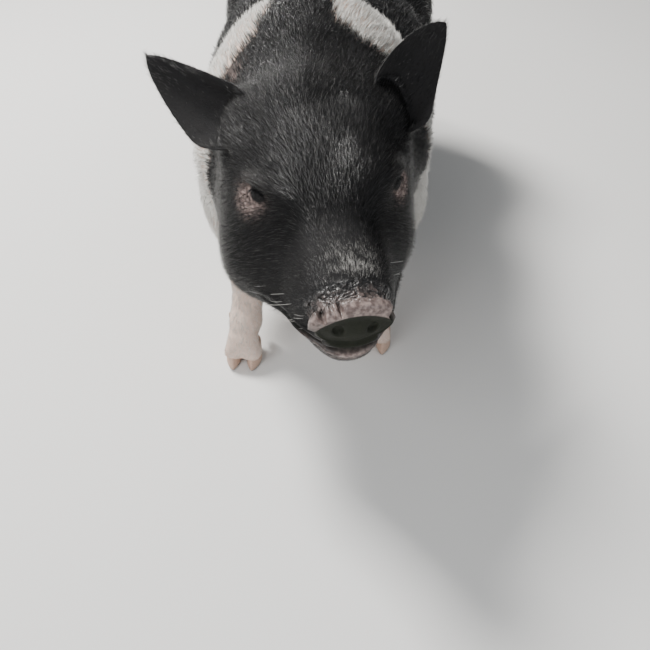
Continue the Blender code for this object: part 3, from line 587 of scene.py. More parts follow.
def skin_distance(points, folded=True):
    """Distance from the pig's skin with its folds, less than zero inside."""
    local, near = head_places(points)
    head = masses_distance(HEAD_MASSES, near)
    body = np.full(len(points), 1.0)
    behind = local[:, 1] > -0.058
    body[behind] = masses_distance(BODY_MASSES, points[behind])
    head_share = np.clip(0.5 + 0.5 * (body - head) / NECK_FILLET, 0, 1)
    distance = run_together(head, body, NECK_FILLET) + coat_depth(points, local, head_share)
    distance = run_together(distance, masses_distance(TAIL_MASSES, points), 0.006)
    folds = bell(local[:, 1] - 0.115, 0.035) * fade(0.30, 0.22, points[:, 2])
    some = folds > 0.002
    distance[some] -= 0.0030 * folds[some] * (ridges(local[some], (0.060, 0.014, 0.050)) - 0.4)
    some = head_share < 1
    lumpy = mottle(points[some], (0.050, 0.060, 0.050)) - 0.5
    distance[some] -= 0.0026 * lumpy * (1 - head_share[some])
    face = np.nonzero(local[:, 1] < 0.045)[0]
    if len(face):
        distance[face] = face_distance(distance[face], local[face], folded)
    return distance


def face_distance(distance, local, folded):
    """The skin's distance with the rim and nostrils of the snout, and with folds, lids and lips."""
    near = mirrored(local)
    if folded:
        distance = distance - face_relief(local)
    disc, share = disc_place(local)
    upper = upper_rim(disc)
    gap = (share - 0.99 + 0.06 * upper) * DISC_HALF_HEIGHT
    rim = np.hypot(gap, disc[:, 1] + 0.0035 - 0.0045 * upper) - RIM_RADIUS - UPPER_RIM_EXTRA * upper
    distance = run_together(distance, rim, RIM_FILLET + UPPER_RIM_FILLET * upper)
    nostril = ball((NOSTRIL_SPACING, NOSTRIL_AT, 0.001), NOSTRIL_RADII)
    distance = -run_together(-distance, mass_distance(nostril, in_frame(DISC, near)), NOSTRIL_FILLET)
    if not folded:
        return distance
    eye = in_frame(EYE, near)
    lids = np.linalg.norm(eye, axis=1) - (EYE_RADIUS + LID_THICKNESS)
    distance = run_together(distance, lids, LID_FILLET)
    opening = np.maximum(lid_opening(eye), 0.0035 - eye[:, 2])
    return -run_together(-distance, opening, 0.0010)


def slope_of(distance, points, step=1.5e-4):
    """Gradient of a distance at each point."""
    columns = []
    for axis in range(3):
        shift = np.zeros(3)
        shift[axis] = step
        columns.append((distance(points + shift) - distance(points - shift)) / (2 * step))
    return np.stack(columns, axis=1)


def settled(points, distance, rounds=2, reach=0.004):
    """Points moved on to the surface where the distance is nought."""
    for _ in range(rounds):
        slope = slope_of(distance, points)
        size = np.maximum((slope**2).sum(axis=1, keepdims=True), 0.25)
        points = points - np.clip(distance(points), -reach, reach)[:, None] * slope / size
    return points


def read(items, field, width, kind=np.float32):
    """A field of all the items of a mesh, as an array with one line for each item."""
    found = np.empty(len(items) * width, kind)
    items.foreach_get(field, found)
    return found.reshape(-1, width)


def points_of(mesh):
    return read(mesh.vertices, "co", 3).astype(float)


def put_points(mesh, points):
    mesh.vertices.foreach_set("co", points.astype(np.float32).ravel())
    mesh.update()


def edges_of(mesh):
    return read(mesh.edges, "vertices", 2, np.int32)


def eased(points, edges, moving, strength=0.5, rounds=2):
    """Points drawn towards the middle of their neighbours, those marked as moving."""
    count = np.bincount(edges.ravel(), minlength=len(points))[:, None]
    for _ in range(rounds):
        total = np.zeros_like(points)
        for axis in range(3):
            total[:, axis] += np.bincount(edges[:, 0], points[edges[:, 1], axis], len(points))
            total[:, axis] += np.bincount(edges[:, 1], points[edges[:, 0], axis], len(points))
        middle = total / np.maximum(count, 1)
        points = points + (middle - points) * strength * moving[:, None]
    return points


def turns(count):
    """Angles spaced evenly round a full turn."""
    return [2 * math.pi * number / count for number in range(count)]


def join_loops(bm, loops):
    """Faces between each loop of points and the next one."""
    for lower, upper in zip(loops, loops[1:]):
        for number in range(len(lower)):
            after = (number + 1) % len(lower)
            bm.faces.new((lower[number], lower[after], upper[after], upper[number]))


def added(name, data):
    """A new object in the scene, with its mesh, light or camera."""
    obj = bpy.data.objects.new(name, data)
    bpy.context.scene.collection.objects.link(obj)
    return obj


def object_from(bm, name):
    """A mesh object made from a bmesh, which is freed."""
    mesh = bpy.data.meshes.new(name)
    bm.to_mesh(mesh)
    bm.free()
    return added(name, mesh)


def bake(obj):
    """Puts the evaluated mesh in place of an object's mesh and modifiers."""
    graph = bpy.context.evaluated_depsgraph_get()
    mesh = bpy.data.meshes.new_from_object(obj.evaluated_get(graph))
    obj.modifiers.clear()
    old = obj.data
    obj.data = mesh
    bpy.data.meshes.remove(old)
    return obj


def lumps(bm, mass, matrix):
    """A mass as plain overlapping balls, to give the skin its first mesh."""
    if mass["kind"] == "ball":
        place = Matrix.Translation(mass["at"]) @ Matrix(mass["turn"]).to_4x4()
        place = place @ Matrix.Diagonal((*mass["radii"], 1))
        bmesh.ops.create_icosphere(bm, subdivisions=3, radius=1, matrix=matrix @ place)
        return
    for share in np.linspace(0, 1, 7):
        centre = mass["at"] + (mass["to"] - mass["at"]) * share
        radius = mass["radii"][0] + (mass["radii"][1] - mass["radii"][0]) * share
        place = Matrix.Translation(centre) @ Matrix.Diagonal((*(mass["squash"] * radius), 1))
        bmesh.ops.create_icosphere(bm, subdivisions=2, radius=1, matrix=matrix @ place)


def rough_skin():
    """All the masses as lumps in one object."""
    bm = bmesh.new()
    level = Matrix.Identity(4)
    for mass, _ in BODY_MASSES + TAIL_MASSES:
        lumps(bm, mass, level)
    for mass, _ in HEAD_MASSES:
        lumps(bm, mass, HEAD)
        if mass["at"][0] > 0:
            lumps(bm, mass, HEAD @ Matrix.Diagonal((-1, 1, 1, 1)))
    bmesh.ops.recalc_face_normals(bm, faces=bm.faces)
    return object_from(bm, "skin")


def eye_region(near):
    return np.linalg.norm(in_frame(EYE, near), axis=1)


def folded_region(points):
    """Where the skin's mesh is halved once: the snout, the mouth and round the eyes."""
    local, near = head_places(points)
    return (local[:, 1] < -0.050) | (eye_region(near) < 0.034)


def creased_region(points):
    """Where it is halved again: rim, wrinkles, lips, nostrils and lids."""
    local, near = head_places(points)
    lips = (np.abs(mouth_rise(near)) < 0.011) & (local[:, 1] < MOUTH_CORNER)
    disc, _ = disc_place(local)
    return (disc[:, 1] < 0.034) | lips | (eye_region(near) < 0.028)


def lid_region(points):
    """Where it is halved a third time: lids, the patch by the eye, nostrils and the creased band."""
    local, near = head_places(points)
    disc = in_frame(DISC, near)
    nostril = np.hypot(disc[:, 0] - NOSTRIL_SPACING, disc[:, 2]) < 0.010
    found = (eye_region(near) < 0.0155) | (eye_patch(near) > 0.12) | (nostril & (disc[:, 1] < 0.006))
    return found | (wrinkled_band(local) > 0.1)


def halved(obj, region):
    """Cuts the faces of a region of the skin in four and settles them."""
    bm = bmesh.new()
    bm.from_mesh(obj.data)
    inside = region(points_of(obj.data))
    bm.verts.ensure_lookup_table()
    edges = [edge for edge in bm.edges if inside[edge.verts[0].index] and inside[edge.verts[1].index]]
    bmesh.ops.subdivide_edges(bm, edges=edges, cuts=1, use_grid_fill=True)
    bm.to_mesh(obj.data)
    bm.free()
    points = points_of(obj.data)
    moving = region(points)
    links = edges_of(obj.data)
    for _ in range(4):
        points[moving] = settled(points[moving], skin_distance, 1, 0.0015)
        points = eased(points, links, moving.astype(float), 0.5, 1)
    points[moving] = settled(points[moving], skin_distance, 2, 0.0015)
    put_points(obj.data, points)


def largest_piece(obj):
    """Keeps only an object's largest closed surface."""
    bm = bmesh.new()
    bm.from_mesh(obj.data)
    unseen = set(bm.verts)
    groups = []
    while unseen:
        edge_of = [unseen.pop()]
        group = list(edge_of)
        while edge_of:
            for edge in edge_of.pop().link_edges:
                for other in edge.verts:
                    if other in unseen:
                        unseen.discard(other)
                        edge_of.append(other)
                        group.append(other)
        groups.append(group)
    groups.sort(key=len)
    for group in groups[:-1]:
        bmesh.ops.delete(bm, geom=group, context="VERTS")
    bm.to_mesh(obj.data)
    bm.free()


def ear_matrix(side):
    """The root of an ear, with x across it, y along it and z out of its cup, in the head's frame."""
    along = Vector((side * EAR_OUT[side], EAR_BACK[side], EAR_UP[side])).normalized()
    facing = EAR_FACING * Vector((side, 1, 1))
    facing = (facing - along * facing.dot(along)).normalized()
    turn = Matrix((along.cross(facing), along, facing)).transposed().to_4x4()
    root = Vector((side * EAR_ROOT.x, EAR_ROOT.y, EAR_ROOT.z))
    return Matrix.Translation(root) @ turn


EARS = {side: HEAD @ ear_matrix(side) for side in NAMES}


def ear_half_width(along, side, outer):
    """Half the width of an ear at some distance along it: broad near the root, with a rounded tip."""
    share = max(along / EAR_LENGTH, 0)
    width, fullness = EAR_OUTER[side] if outer else EAR_INNER[side]
    blunt = EAR_TIP * math.sqrt(max(1 - share**12, 0))
    root = 1 - 0.45 * (1 - min(max((along + EAR_SUNK) / (EAR_SUNK + 0.016), 0), 1)) ** 2
    return EAR_WIDTH / 2 * width * root * max((1 - share**fullness) ** EAR_ROUNDING, blunt)


def ear(side):
    """An ear as one closed leaf, thick at the root and in the middle, with a thin rolled rim."""
    steps, around = 72, 72
    bm = bmesh.new()
    loops = []
    for step in range(steps):
        y = (EAR_LENGTH + EAR_SUNK) * (1 - (1 - step / steps) ** 1.35) - EAR_SUNK
        share = max(y / EAR_LENGTH, 0)
        roll = EAR_CUP * (1 - 0.80 * share)
        thick = EAR_THICKNESS + (EAR_ROOT_THICKNESS - EAR_THICKNESS) * (1 - share) ** 3
        loop = []
        for angle in turns(around):
            across = math.copysign(abs(math.cos(angle)) ** 0.75, math.cos(angle))
            half = ear_half_width(y, side, across * side > 0)
            bend = across * roll
            x = half * math.sin(bend) / math.sin(roll)
            z = half * (1 - math.cos(bend)) / math.sin(roll) + 0.010 * share**2
            lift = thick / 2 * math.sin(angle) * (1 - 0.35 * across**2)
            lift += 0.0009 * math.sin(9 * across + 3 * share) * (1 - share) * math.sin(angle)
            point = Vector((x - math.sin(bend) * lift, y, z + math.cos(bend) * lift))
            loop.append(bm.verts.new(EARS[side] @ point))
        loops.append(loop)
    join_loops(bm, loops)
    bm.faces.new(loops[0])
    tip = bm.verts.new(EARS[side] @ Vector((0, EAR_LENGTH, 0.010)))
    for number in range(around):
        bm.faces.new((loops[-1][number], loops[-1][(number + 1) % around], tip))
    bmesh.ops.triangulate(bm, faces=[face for face in bm.faces if len(face.verts) > 4])
    bmesh.ops.recalc_face_normals(bm, faces=bm.faces)
    return object_from(bm, f"ear_skin_{NAMES[side]}")


def joined_ear(skin, side):
    """Joins an ear to the skin by one union and rounds the corner where they meet."""
    leaf = ear(side)
    root = EARS[side] @ Vector((0, 0.004, 0))
    join = skin.modifiers.new("ear", "BOOLEAN")
    join.operation = "UNION"
    join.object = leaf
    join.solver = "MANIFOLD"
    leaf_points = points_of(leaf.data)
    bake(skin)
    bpy.data.objects.remove(leaf)
    points = points_of(skin.data)
    place = in_frame(EARS[side], points)
    close = np.linalg.norm(points - np.array(root), axis=1) < 0.065
    off_skin = np.abs(skin_distance(points[close]))
    off_leaf = np.full(len(off_skin), 1.0)
    for start in range(0, len(leaf_points), 512):
        part = leaf_points[start : start + 512]
        gap = np.linalg.norm(points[close][:, None] - part[None], axis=2).min(axis=1)
        off_leaf = np.minimum(off_leaf, gap)
    moving = np.zeros(len(points))
    moving[close] = fade(0.0075, 0.0020, off_skin) * fade(0.0080, 0.0030, off_leaf)
    moving *= fade(-0.012, 0.0, place[:, 1])
    put_points(skin.data, eased(points, edges_of(skin.data), moving, 0.6, 14))


def skin_form():
    """The pig's whole skin as one mesh, finest at the lids, the nostrils and the snout's creases."""
    skin = rough_skin()
    for voxel in (ROUGH_VOXEL, SKIN_VOXEL):
        remesh = skin.modifiers.new("remesh", "REMESH")
        remesh.mode = "VOXEL"
        remesh.voxel_size = voxel
        bake(skin)
        links = edges_of(skin.data)
        points = settled(points_of(skin.data), plain_distance)
        points = eased(points, links, np.ones(len(points)), 0.5, 3)
        put_points(skin.data, settled(points, plain_distance))
    largest_piece(skin)
    for region in (folded_region, creased_region, lid_region):
        halved(skin, region)
    for side in NAMES:
        joined_ear(skin, side)
    return skin


def marking(points):
    """How white the coat is: a band round the shoulders and chest, the forelegs and short hind socks."""
    local = head_place(points)
    wave = 0.016 * (mottle(points, (0.030, 0.030, 0.030)) - 0.5)
    wave += 0.007 * (mottle(points, (0.007, 0.007, 0.007)) - 0.5)
    x, y, z = points.T
    back = y - CAP_START
    half_cap = CAP_HALF_WIDTH * np.sqrt(np.clip(1 - (back / CAP_LENGTH) ** 2, 0, 1)) * (back > 0)
    half_cap += (CAP_HALF_WIDTH + 2.4 * np.clip(-back, 0, 1)) * (back <= 0)
    beside_cap = np.abs(x - CAP_SIDE) - half_cap
    behind_head = local[:, 1] - BAND_START + 0.10 * np.clip(local[:, 2], -0.1, 0)
    top = fade(0.300, 0.345, z)
    front = np.minimum(behind_head, beside_cap) * top + behind_head * (1 - top)
    body = masses_distance(BODY_MASSES, points)
    off_head = masses_distance(HEAD_MASSES, mirrored(local)) - body
    low = fade(0.26, 0.20, z)
    front = front * (1 - low) + (off_head - 0.003) * low
    rear = BAND_END - 0.020 * fade(0.30, 0.12, z) - y
    collar = fade(-0.003, 0.003, np.minimum(front, rear) + wave)
    sock = fade(*SOCK_EDGE, z + wave) * (y > 0.1)
    return np.clip(collar + sock, 0, 1) * (on_ear(points) == 0)


def nearest_group(points):
    """The nearest part of the body to each point: 0 head, 1 trunk, 2 legs, 3 tail."""
    near = mirrored(head_place(points))
    found = [
        masses_distance(HEAD_MASSES, near),
        masses_distance(TRUNK_MASSES, points) - 0.004,
        np.minimum(masses_distance(FORELEG_MASSES, points), masses_distance(HINDLEG_MASSES, points)),
        masses_distance(TAIL_MASSES, points) - 0.003,
    ]
    return np.argmin(found, axis=0)


def on_ear(points):
    """For each point, 1 on the left ear, -1 on the right one and 0 elsewhere."""
    found = np.zeros(len(points), int)
    for side in NAMES:
        place = in_frame(EARS[side], points)
        close = (place[:, 1] > -0.006) & (np.abs(place[:, 0]) < 0.046) & (np.abs(place[:, 2]) < 0.05)
        index = np.nonzero(close)[0]
        out = skin_distance(points[index]) > 0.0022
        found[index[out]] = side
    return found


def bare_shares(points):
    """Where hardly any hair grows: the snout's disc and band, the lips, the lids and by the claws."""
    local, near = head_places(points)
    disc, share = disc_place(local)
    snout = fade(1.35, 1.15, share) * fade(0.0130, 0.0095, disc[:, 1])
    snout = np.maximum(snout, 0.95 * wrinkled_band(local))
    mouth = mouth_rise(near)
    lips = fade(0.0085, 0.0055, np.abs(mouth)) * fade(-0.052, -0.080, near[:, 1])
    eye = in_frame(EYE, near)
    lids = fade(0.0025, 0.0008, lid_opening(eye)) * fade(0.018, 0.015, eye_region(near))
    claws = fade(CORONET_HEIGHT + 0.003, CORONET_HEIGHT - 0.003, points[:, 2])
    return np.clip(snout + lips + lids + claws, 0, 1)


def eye_patch(near):
    """The thin-haired wrinkled skin below and outside the eye."""
    eye = in_frame(EYE, near)
    below = bell(eye[:, 1] + 0.0085, 0.0130) * bell(eye[:, 0] - 0.0075, 0.0150)
    return np.clip(1.6 * below, 0, 1) * fade(0.042, 0.03, eye_region(near))


def root_spot(points):
    """The thin-haired pinkish spot behind the root of the right ear."""
    return bell(np.linalg.norm(head_place(points) - PINK_SPOT, axis=1), 0.015)


def pink_shares(points):
    """Where the dark skin turns pinkish: by the eye, at the ear's root, on the rim and the lips. Painted
    shade keeps the creases and the dip round the eye dark.
    """
    local, near = head_places(points)
    eye = in_frame(EYE, near)
    # Painted shade: no pink close round the eye, so the lids and the dip round it stay black.
    outside_eye_shade = fade(0.0070, 0.0105, np.hypot(eye[:, 0] + 0.001, eye[:, 1] - 0.0015))
    # Pink mostly on the fold tops, the creases between them left darker as painted shade.
    tops = fold_tops(eye, PATCH_SPACING)
    spots = eye_patch(near) * outside_eye_shade * (0.25 + 0.75 * tops)
    spots += 0.8 * root_spot(points)
    disc, share = disc_place(local)
    blurred = disc[:, 1] + 0.0050 * (mottle(local, (0.009, 0.006, 0.006)) - 0.5)
    rim = fade(0.76, 0.86, share) * fade(0.0085, -0.0010, blurred) * upper_rim(disc)
    spots += rim * (0.66 + 0.35 * mottle(local, (0.012, 0.006, 0.006)))
    # Pink only on the band's fold tops, the creases left dark as painted shade.
    folds = fold_tops(disc, SNOUT_SPACING) ** 2
    spots += 0.50 * wrinkled_band(local) * folds * fade(0.027, 0.010, disc[:, 1])
    mouth = mouth_rise(near)
    front = fade(-0.085, -0.100, near[:, 1])
    lip = bell(mouth + 0.0058, 0.0048) * front * (0.30 + 0.85 * bell(near[:, 0], 0.016))
    chin = 0.34 * fade(-0.006, -0.012, mouth) * front * bell(near[:, 0], 0.026)
    return np.clip(spots + lip + chin, 0, 1) * (1 - mouth_gap_shade(near))


def mouth_gap_shade(near):
    """Painted shade in the line between the lips: how dark it is."""
    inside = fade(MOUTH_CORNER + 0.006, MOUTH_CORNER - 0.010, near[:, 1])
    inside *= fade(-0.02, -0.05, near[:, 2])
    return bell(mouth_rise(near), 0.0021) * inside


def disc_and_mouth_shade(points):
    """The smooth dark face of the snout's disc, and painted shade in the gap of the mouth."""
    local = head_place(points)
    disc, share = disc_place(local)
    edge = 1.03 - 0.20 * upper_rim(disc)
    face = fade(edge, edge - 0.06, share) * fade(0.006, 0.002, disc[:, 1])
    return np.maximum(face, mouth_gap_shade(mirrored(local)))


def lie_of(points, normals, ears):
    """Which way the hair lies: back over the head and body, down the legs, out along the ears."""
    local = head_place(points)
    side = np.tanh(local[:, :1] / 0.022)
    wide = np.abs(local[:, :1])
    low = fade(0.035, -0.020, local[:, 2:])
    spread = fade(0.020, 0.055, wide) * (0.30 + 0.70 * low)
    over = np.array([(0, 1.0, 0.35)])
    across = np.concatenate([side, np.full_like(side, 0.42), -0.16 - 0.35 * low], axis=1)
    head = turned(HEAD, over * (1 - spread) + across * spread)
    x, z = points[:, :1], points[:, 2:]
    down = fade(0.36, 0.16, z) * 0.75
    body = np.concatenate([0.25 * np.sign(x) * fade(0.30, 0.38, z), np.ones_like(x), -down], axis=1)
    group = nearest_group(points)[:, None]
    turn = fade(0.075, 0.125, local[:, 1:2])
    lie = np.where(group == 0, unit(head) * (1 - turn) + unit(body) * turn, body)
    lie = np.where(group == 2, np.array([(0, 0.25, -1.0)]), lie)
    lie = np.where(group == 3, np.array([(0.05, 0.25, -1.0)]), lie)
    for sign in NAMES:
        place = in_frame(EARS[sign], points)
        out = np.stack([place[:, 0] * 9, np.ones(len(points)), np.zeros(len(points))], axis=1)
        lie = np.where((ears == sign)[:, None], turned(EARS[sign], out), lie)
    return laid(lie, normals)


def coat_part(points, ears):
    """Which of COAT_PARTS each point belongs to."""
    local = head_place(points)
    group = nearest_group(points)
    y, z = points[:, 1], points[:, 2]
    part = COAT_PARTS.index
    on_top = (np.abs(local[:, 0]) < 0.050) & (local[:, 2] > -0.030) | (local[:, 1] < -0.040)
    found = np.where(y < -0.035, np.where(z > 0.310, part("neck"), part("shoulders")), part("flanks"))
    found = np.where((y >= -0.035) & (z > 0.265), part("back"), found)
    found = np.where(group == 0, np.where(on_top, part("face"), part("cheeks")), found)
    found = np.where((group == 2) & (z < 0.16), part("legs"), found)
    found = np.where(group == 3, part("tail"), found)
    return np.where(ears != 0, part("ears"), found)


def coat_values(points, ears):
    """The length, width, lift and density of the coat at each point, changing smoothly over the body."""
    local = head_place(points)
    group = nearest_group(points)
    rows = {name: np.array([values], float) for name, values in COAT.items()}
    low = fade(0.020, -0.040, local[:, 2:])
    face = rows["face"] * (1 - low) + rows["cheek"] * low
    muzzle = fade(-0.012, -0.078, local[:, 1:2])
    head = face * (1 - muzzle) + rows["muzzle"] * muzzle
    hind = fade(-0.100, 0.010, points[:, 1:2])
    body = rows["neck"] * (1 - hind) + rows["body"] * hind
    leg = fade(0.190, 0.090, points[:, 2:]) * (group == 2)[:, None]
    body = body * (1 - leg) + rows["leg"] * leg
    neck = fade(0.060, 0.130, local[:, 1:2])
    neck = np.maximum(neck, (group == 2)[:, None] * fade(0.20, 0.16, points[:, 2:]))
    found = head * (1 - neck) + body * neck
    found = np.where((group == 3)[:, None], rows["tail"], found)
    return np.where((ears != 0)[:, None], rows["ear"], found)


def mesh_object(name, points, triangles):
    """A smooth mesh object from arrays of points and triangles."""
    mesh = bpy.data.meshes.new(name)
    mesh.vertices.add(len(points))
    mesh.vertices.foreach_set("co", points.astype(np.float32).ravel())
    mesh.loops.add(triangles.size)
    mesh.loops.foreach_set("vertex_index", triangles.astype(np.int32).ravel())
    mesh.polygons.add(len(triangles))
    mesh.polygons.foreach_set("loop_start", np.arange(0, triangles.size, 3, dtype=np.int32))
    mesh.update(calc_edges=True)
    mesh.shade_smooth()
    return added(name, mesh)


def mark(obj, name, values):
    """Keeps a number for every vertex of a mesh under a name."""
    layer = obj.data.attributes.new(name, "FLOAT", "POINT")
    layer.data.foreach_set("value", values.astype(np.float32))


def put_map(obj, places):
    """Sets the bake map from the place of every vertex on it."""
    corners = read(obj.data.loops, "vertex_index", 1, np.int32)[:, 0]
    layer = obj.data.uv_layers.new(name="OFBake")
    layer.data.foreach_set("uv", places[corners].astype(np.float32).ravel())


def tufts(name, roots, normals, lies, lengths, widths, lifts, pale, places, joints=2, droop=0.9):
    """Closed three-sided tapered tufts that rise off the skin and bend over along their lie."""
    count = len(roots)
    across = np.cross(lies, normals)
    spine = [roots - normals * TUFT_SUNK]
    for step in range(joints):
        angle = (lifts * (1 - droop * step / joints))[:, None]
        way = lies * np.cos(angle) + normals * np.sin(angle)
        spine.append(spine[-1] + way * (lengths / joints)[:, None])
    rows = []
    shares = []
    sides = []
    for step in range(joints):
        share = step / joints
        size = (widths / 2 * (1 - 0.45 * share**2))[:, None]
        for corner, (out, up) in enumerate(((0, 1.0), (0.87, -0.5), (-0.87, -0.5))):
            rows.append(spine[step] + across * size * out + normals * size * up * 0.7)
            shares.append(share)
            sides.append(corner / 3)
    rows.append(spine[-1])
    shares.append(1.0)
    sides.append(0.33)
    points = np.stack(rows, axis=1)
    pattern = [(0, 1, 2)]
    for step in range(joints - 1):
        for corner in range(3):
            low, after = step * 3 + corner, step * 3 + (corner + 1) % 3
            pattern += [(low, low + 3, after), (after, low + 3, after + 3)]
    last = (joints - 1) * 3
    pattern += [(last + corner, last + 3, last + (corner + 1) % 3) for corner in range(3)]
    size = len(rows)
    triangles = (np.array(pattern)[None] + np.arange(count)[:, None, None] * size).reshape(-1, 3)
    obj = mesh_object(name, points.reshape(-1, 3), triangles)
    shares = np.array(shares)
    base, tip = pale
    tone = base[:, None] + (tip - base)[:, None] * shares[None] ** 1.5
    mark(obj, "pale", tone.ravel())
    patch = np.stack([np.array(sides) * PATCH, shares * PATCH], axis=1)
    put_map(obj, (places[:, None] + patch[None]).reshape(-1, 2))
    return obj


def corner_arrays(mesh):
    """The corners of a mesh's triangles, and their places on its bake map."""
    mesh.calc_loop_triangles()
    corners = read(mesh.loop_triangles, "vertices", 3, np.int32)
    loops = read(mesh.loop_triangles, "loops", 3, np.int32)
    return corners, read(mesh.uv_layers["OFBake"].data, "uv", 2)[loops]


def hair_tones(dice, roots, ears, normals):
    """How pale each tuft is at its root and at its tip: black hair has some pale tips, partly silvery
    hair and partly painted glint.
    """
    count = len(roots)
    local = head_place(roots)
    white = dice.random(count) < marking(roots) * 0.992
    # The patch on the bridge of the nose is painted glint off hair over folded skin; the grizzled spot by
    # the left ear adds grizzled hair.
    patch = bell(local[:, 0] - 0.004, 0.026) * bell(local[:, 1] + 0.094, 0.016)
    patch = 0.85 * patch * (local[:, 2] > -0.06) * fade(0.20, 0.55, mottle(local, (0.012, 0.006, 0.012)))
    grizzled = bell(np.linalg.norm(local - GRIZZLED_SPOT, axis=1), 0.015)
    patch = np.maximum(patch, 0.7 * grizzled)
    tail_tip = fade(0.225, 0.205, roots[:, 2]) * (roots[:, 1] > 0.345)
    # Pale tips on black hair: partly silvery hair, partly painted glint in place of the sheen of black
    # bristles.
    silver_and_glint = 0.08 + 0.12 * (mottle(roots, (0.025, 0.025, 0.025)) - 0.5)
    silver_and_glint *= 1 - 0.70 * fade(0.060, 0.110, local[:, 1])
    for sign in NAMES:
        place = in_frame(EARS[sign], roots)
        cup = (ears == sign) & ((normals @ np.array(EARS[sign])[:3, 2]) > 0)
        edge = np.abs(place[:, 0]) > 0.78 * EAR_WIDTH / 2 * (1 - (place[:, 1] / EAR_LENGTH) ** 2)
        silver_and_glint = np.where(cup, 0.03 + 0.6 * fade(0.045, 0.075, place[:, 1]), silver_and_glint)
        # Pale tips along one edge of each ear: a painted rim light.
        silver_and_glint = np.where((ears == sign) & edge & (place[:, 0] * sign < 0), 0.55, silver_and_glint)
    tipped = dice.random(count) < np.maximum(silver_and_glint, patch)
    base = np.where(white, dice.uniform(0.62, 0.95, count), dice.uniform(0.0, 0.02, count))
    tip = np.where(white, dice.uniform(0.80, 1.0, count), dice.uniform(0.0, 0.03, count))
    tip = np.where(tipped & ~white, dice.uniform(0.05, 0.28, count) + 0.26 * patch, tip)
    base = np.where((dice.random(count) < patch) & ~white, dice.uniform(0.16, 0.46, count), base)
    pale_tail = dice.random(count) < tail_tip * 0.8
    return np.where(pale_tail, 0.4, base), np.where(pale_tail, 0.75, tip)


def coat(skin):
    """Grows the whole coat out of the skin, in one or two pieces for each part of the body."""
    dice = np.random.default_rng(SEED + 1)
    points = points_of(skin.data)
    normals = read(skin.data.vertices, "normal", 3).astype(float)
    corners, places = corner_arrays(skin.data)
    edges = points[corners[:, 1:]] - points[corners[:, :1]]
    facing = np.cross(edges[:, 0], edges[:, 1])
    centres = points[corners].mean(axis=1)
    ears = on_ear(centres)
    thin = 1 - bare_shares(centres)
    thin *= 1 - THINNER_BY_EYE * eye_patch(mirrored(head_place(centres)))
    thin *= 1 - THINNER_BY_EAR * root_spot(centres)
    for sign in NAMES:
        cup = (ears == sign) & (turned(EARS[sign].inverted(), facing)[:, 2] > 0)
        thin = np.where(cup, CUP_SHARE * thin, thin)
    weights = np.linalg.norm(facing, axis=1) / 2 * thin * coat_values(centres, ears)[:, 3] * 1e4
    count = int(weights.sum())
    picked = np.searchsorted(np.cumsum(weights) / weights.sum(), dice.random(count))
    shares = dice.random((count, 2))
    over = shares.sum(axis=1) > 1
    shares[over] = 1 - shares[over]
    shares = np.concatenate([1 - shares.sum(axis=1, keepdims=True), shares], axis=1)[:, :, None]
    roots = (points[corners[picked]] * shares).sum(axis=1)
    up = unit((normals[corners[picked]] * shares).sum(axis=1))
    place = (places[picked] * shares).sum(axis=1)
    ears = ears[picked]
    length, width, lift, _ = coat_values(roots, ears).T
    lie = lie_of(roots, up, ears)
    swirl = SWIRL * (mottle(roots, (SWIRL_SIZE,) * 3) - 0.5)
    swing = np.radians(dice.normal(0, STRAY, count) + swirl)[:, None]
    lie = lie * np.cos(swing) + np.cross(up, lie) * np.sin(swing)
    length = length * length_share(roots, ears) * dice.uniform(*LENGTHS, count)
    lie = clumped(dice, roots, up, lie, length, ears)
    width = width * dice.uniform(*WIDTHS, count)
    rise = np.radians(np.clip(lift * dice.normal(1, LIFT_SPREAD, count), 4, 70))
    base, tip = hair_tones(dice, roots, ears, up)
    parts = coat_part(roots, ears)
    grown = []
    for number, name in enumerate(COAT_PARTS):
        chosen = np.nonzero(parts == number)[0]
        joints = 1 if name in STRAIGHT_PARTS else 2
        batches = math.ceil(len(chosen) * (6 * joints - 2) / MOST_TRIANGLES)
        for batch in range(batches):
            some = chosen[batch::batches]
            pale = (base[some], tip[some])
            shape = (roots[some], up[some], lie[some], length[some], width[some], rise[some])
            grown.append(tufts(f"coat_{name}_{batch + 1}", *shape, pale, place[some], joints))
    return grown


def clumped(dice, roots, up, lie, length, ears):
    """The lie of tufts that lean in small clumps towards the tip of the nearest leading tuft."""
    leaders = dice.choice(len(roots), len(roots) // TUFTS_IN_CLUMP, replace=False)
    tree = KDTree(len(leaders))
    for number, leader in enumerate(leaders):
        tree.insert(roots[leader], number)
    tree.balance()
    nearest = leaders[[tree.find(root)[1] for root in roots]]
    aim = laid(roots[nearest] + lie[nearest] * length[nearest, None] - roots, up)
    share = CLUMPING * dice.uniform(0.3, 1.0, len(roots)) * (ears[nearest] == ears)
    return unit(lie * (1 - share[:, None]) + aim * share[:, None])


def length_share(roots, ears):
    """How the hair's length changes: short by the snout, the eyes and the feet, longest on the nape."""
    local, near = head_places(roots)
    size = 0.75 + 0.25 * fade(-0.115, -0.090, local[:, 1])
    size *= 0.55 + 0.45 * fade(0.010, 0.034, eye_region(near))
    size *= 0.70 + 0.30 * fade(0.02, 0.08, roots[:, 2])
    crest = bell(roots[:, 0], 0.045) * fade(0.33, 0.38, roots[:, 2])
    size *= 1 + 0.20 * crest * fade(0.10, -0.15, roots[:, 1])
    return np.where(ears != 0, 0.8 + 0.75 * fade(0.08, 0.13, near[:, 1]), size)


def bake_map(skin):
    """Unwraps the skin's own shape, seam by seam, for the map that the coat shares."""
    skin.data.uv_layers.new(name="OFBake")
    bpy.context.view_layer.objects.active = skin
    skin.select_set(True)
    bpy.ops.object.mode_set(mode="EDIT")
    bpy.ops.mesh.select_all(action="SELECT")
    bpy.ops.uv.smart_project(angle_limit=math.radians(62), island_margin=0.002)
    bpy.ops.object.mode_set(mode="OBJECT")


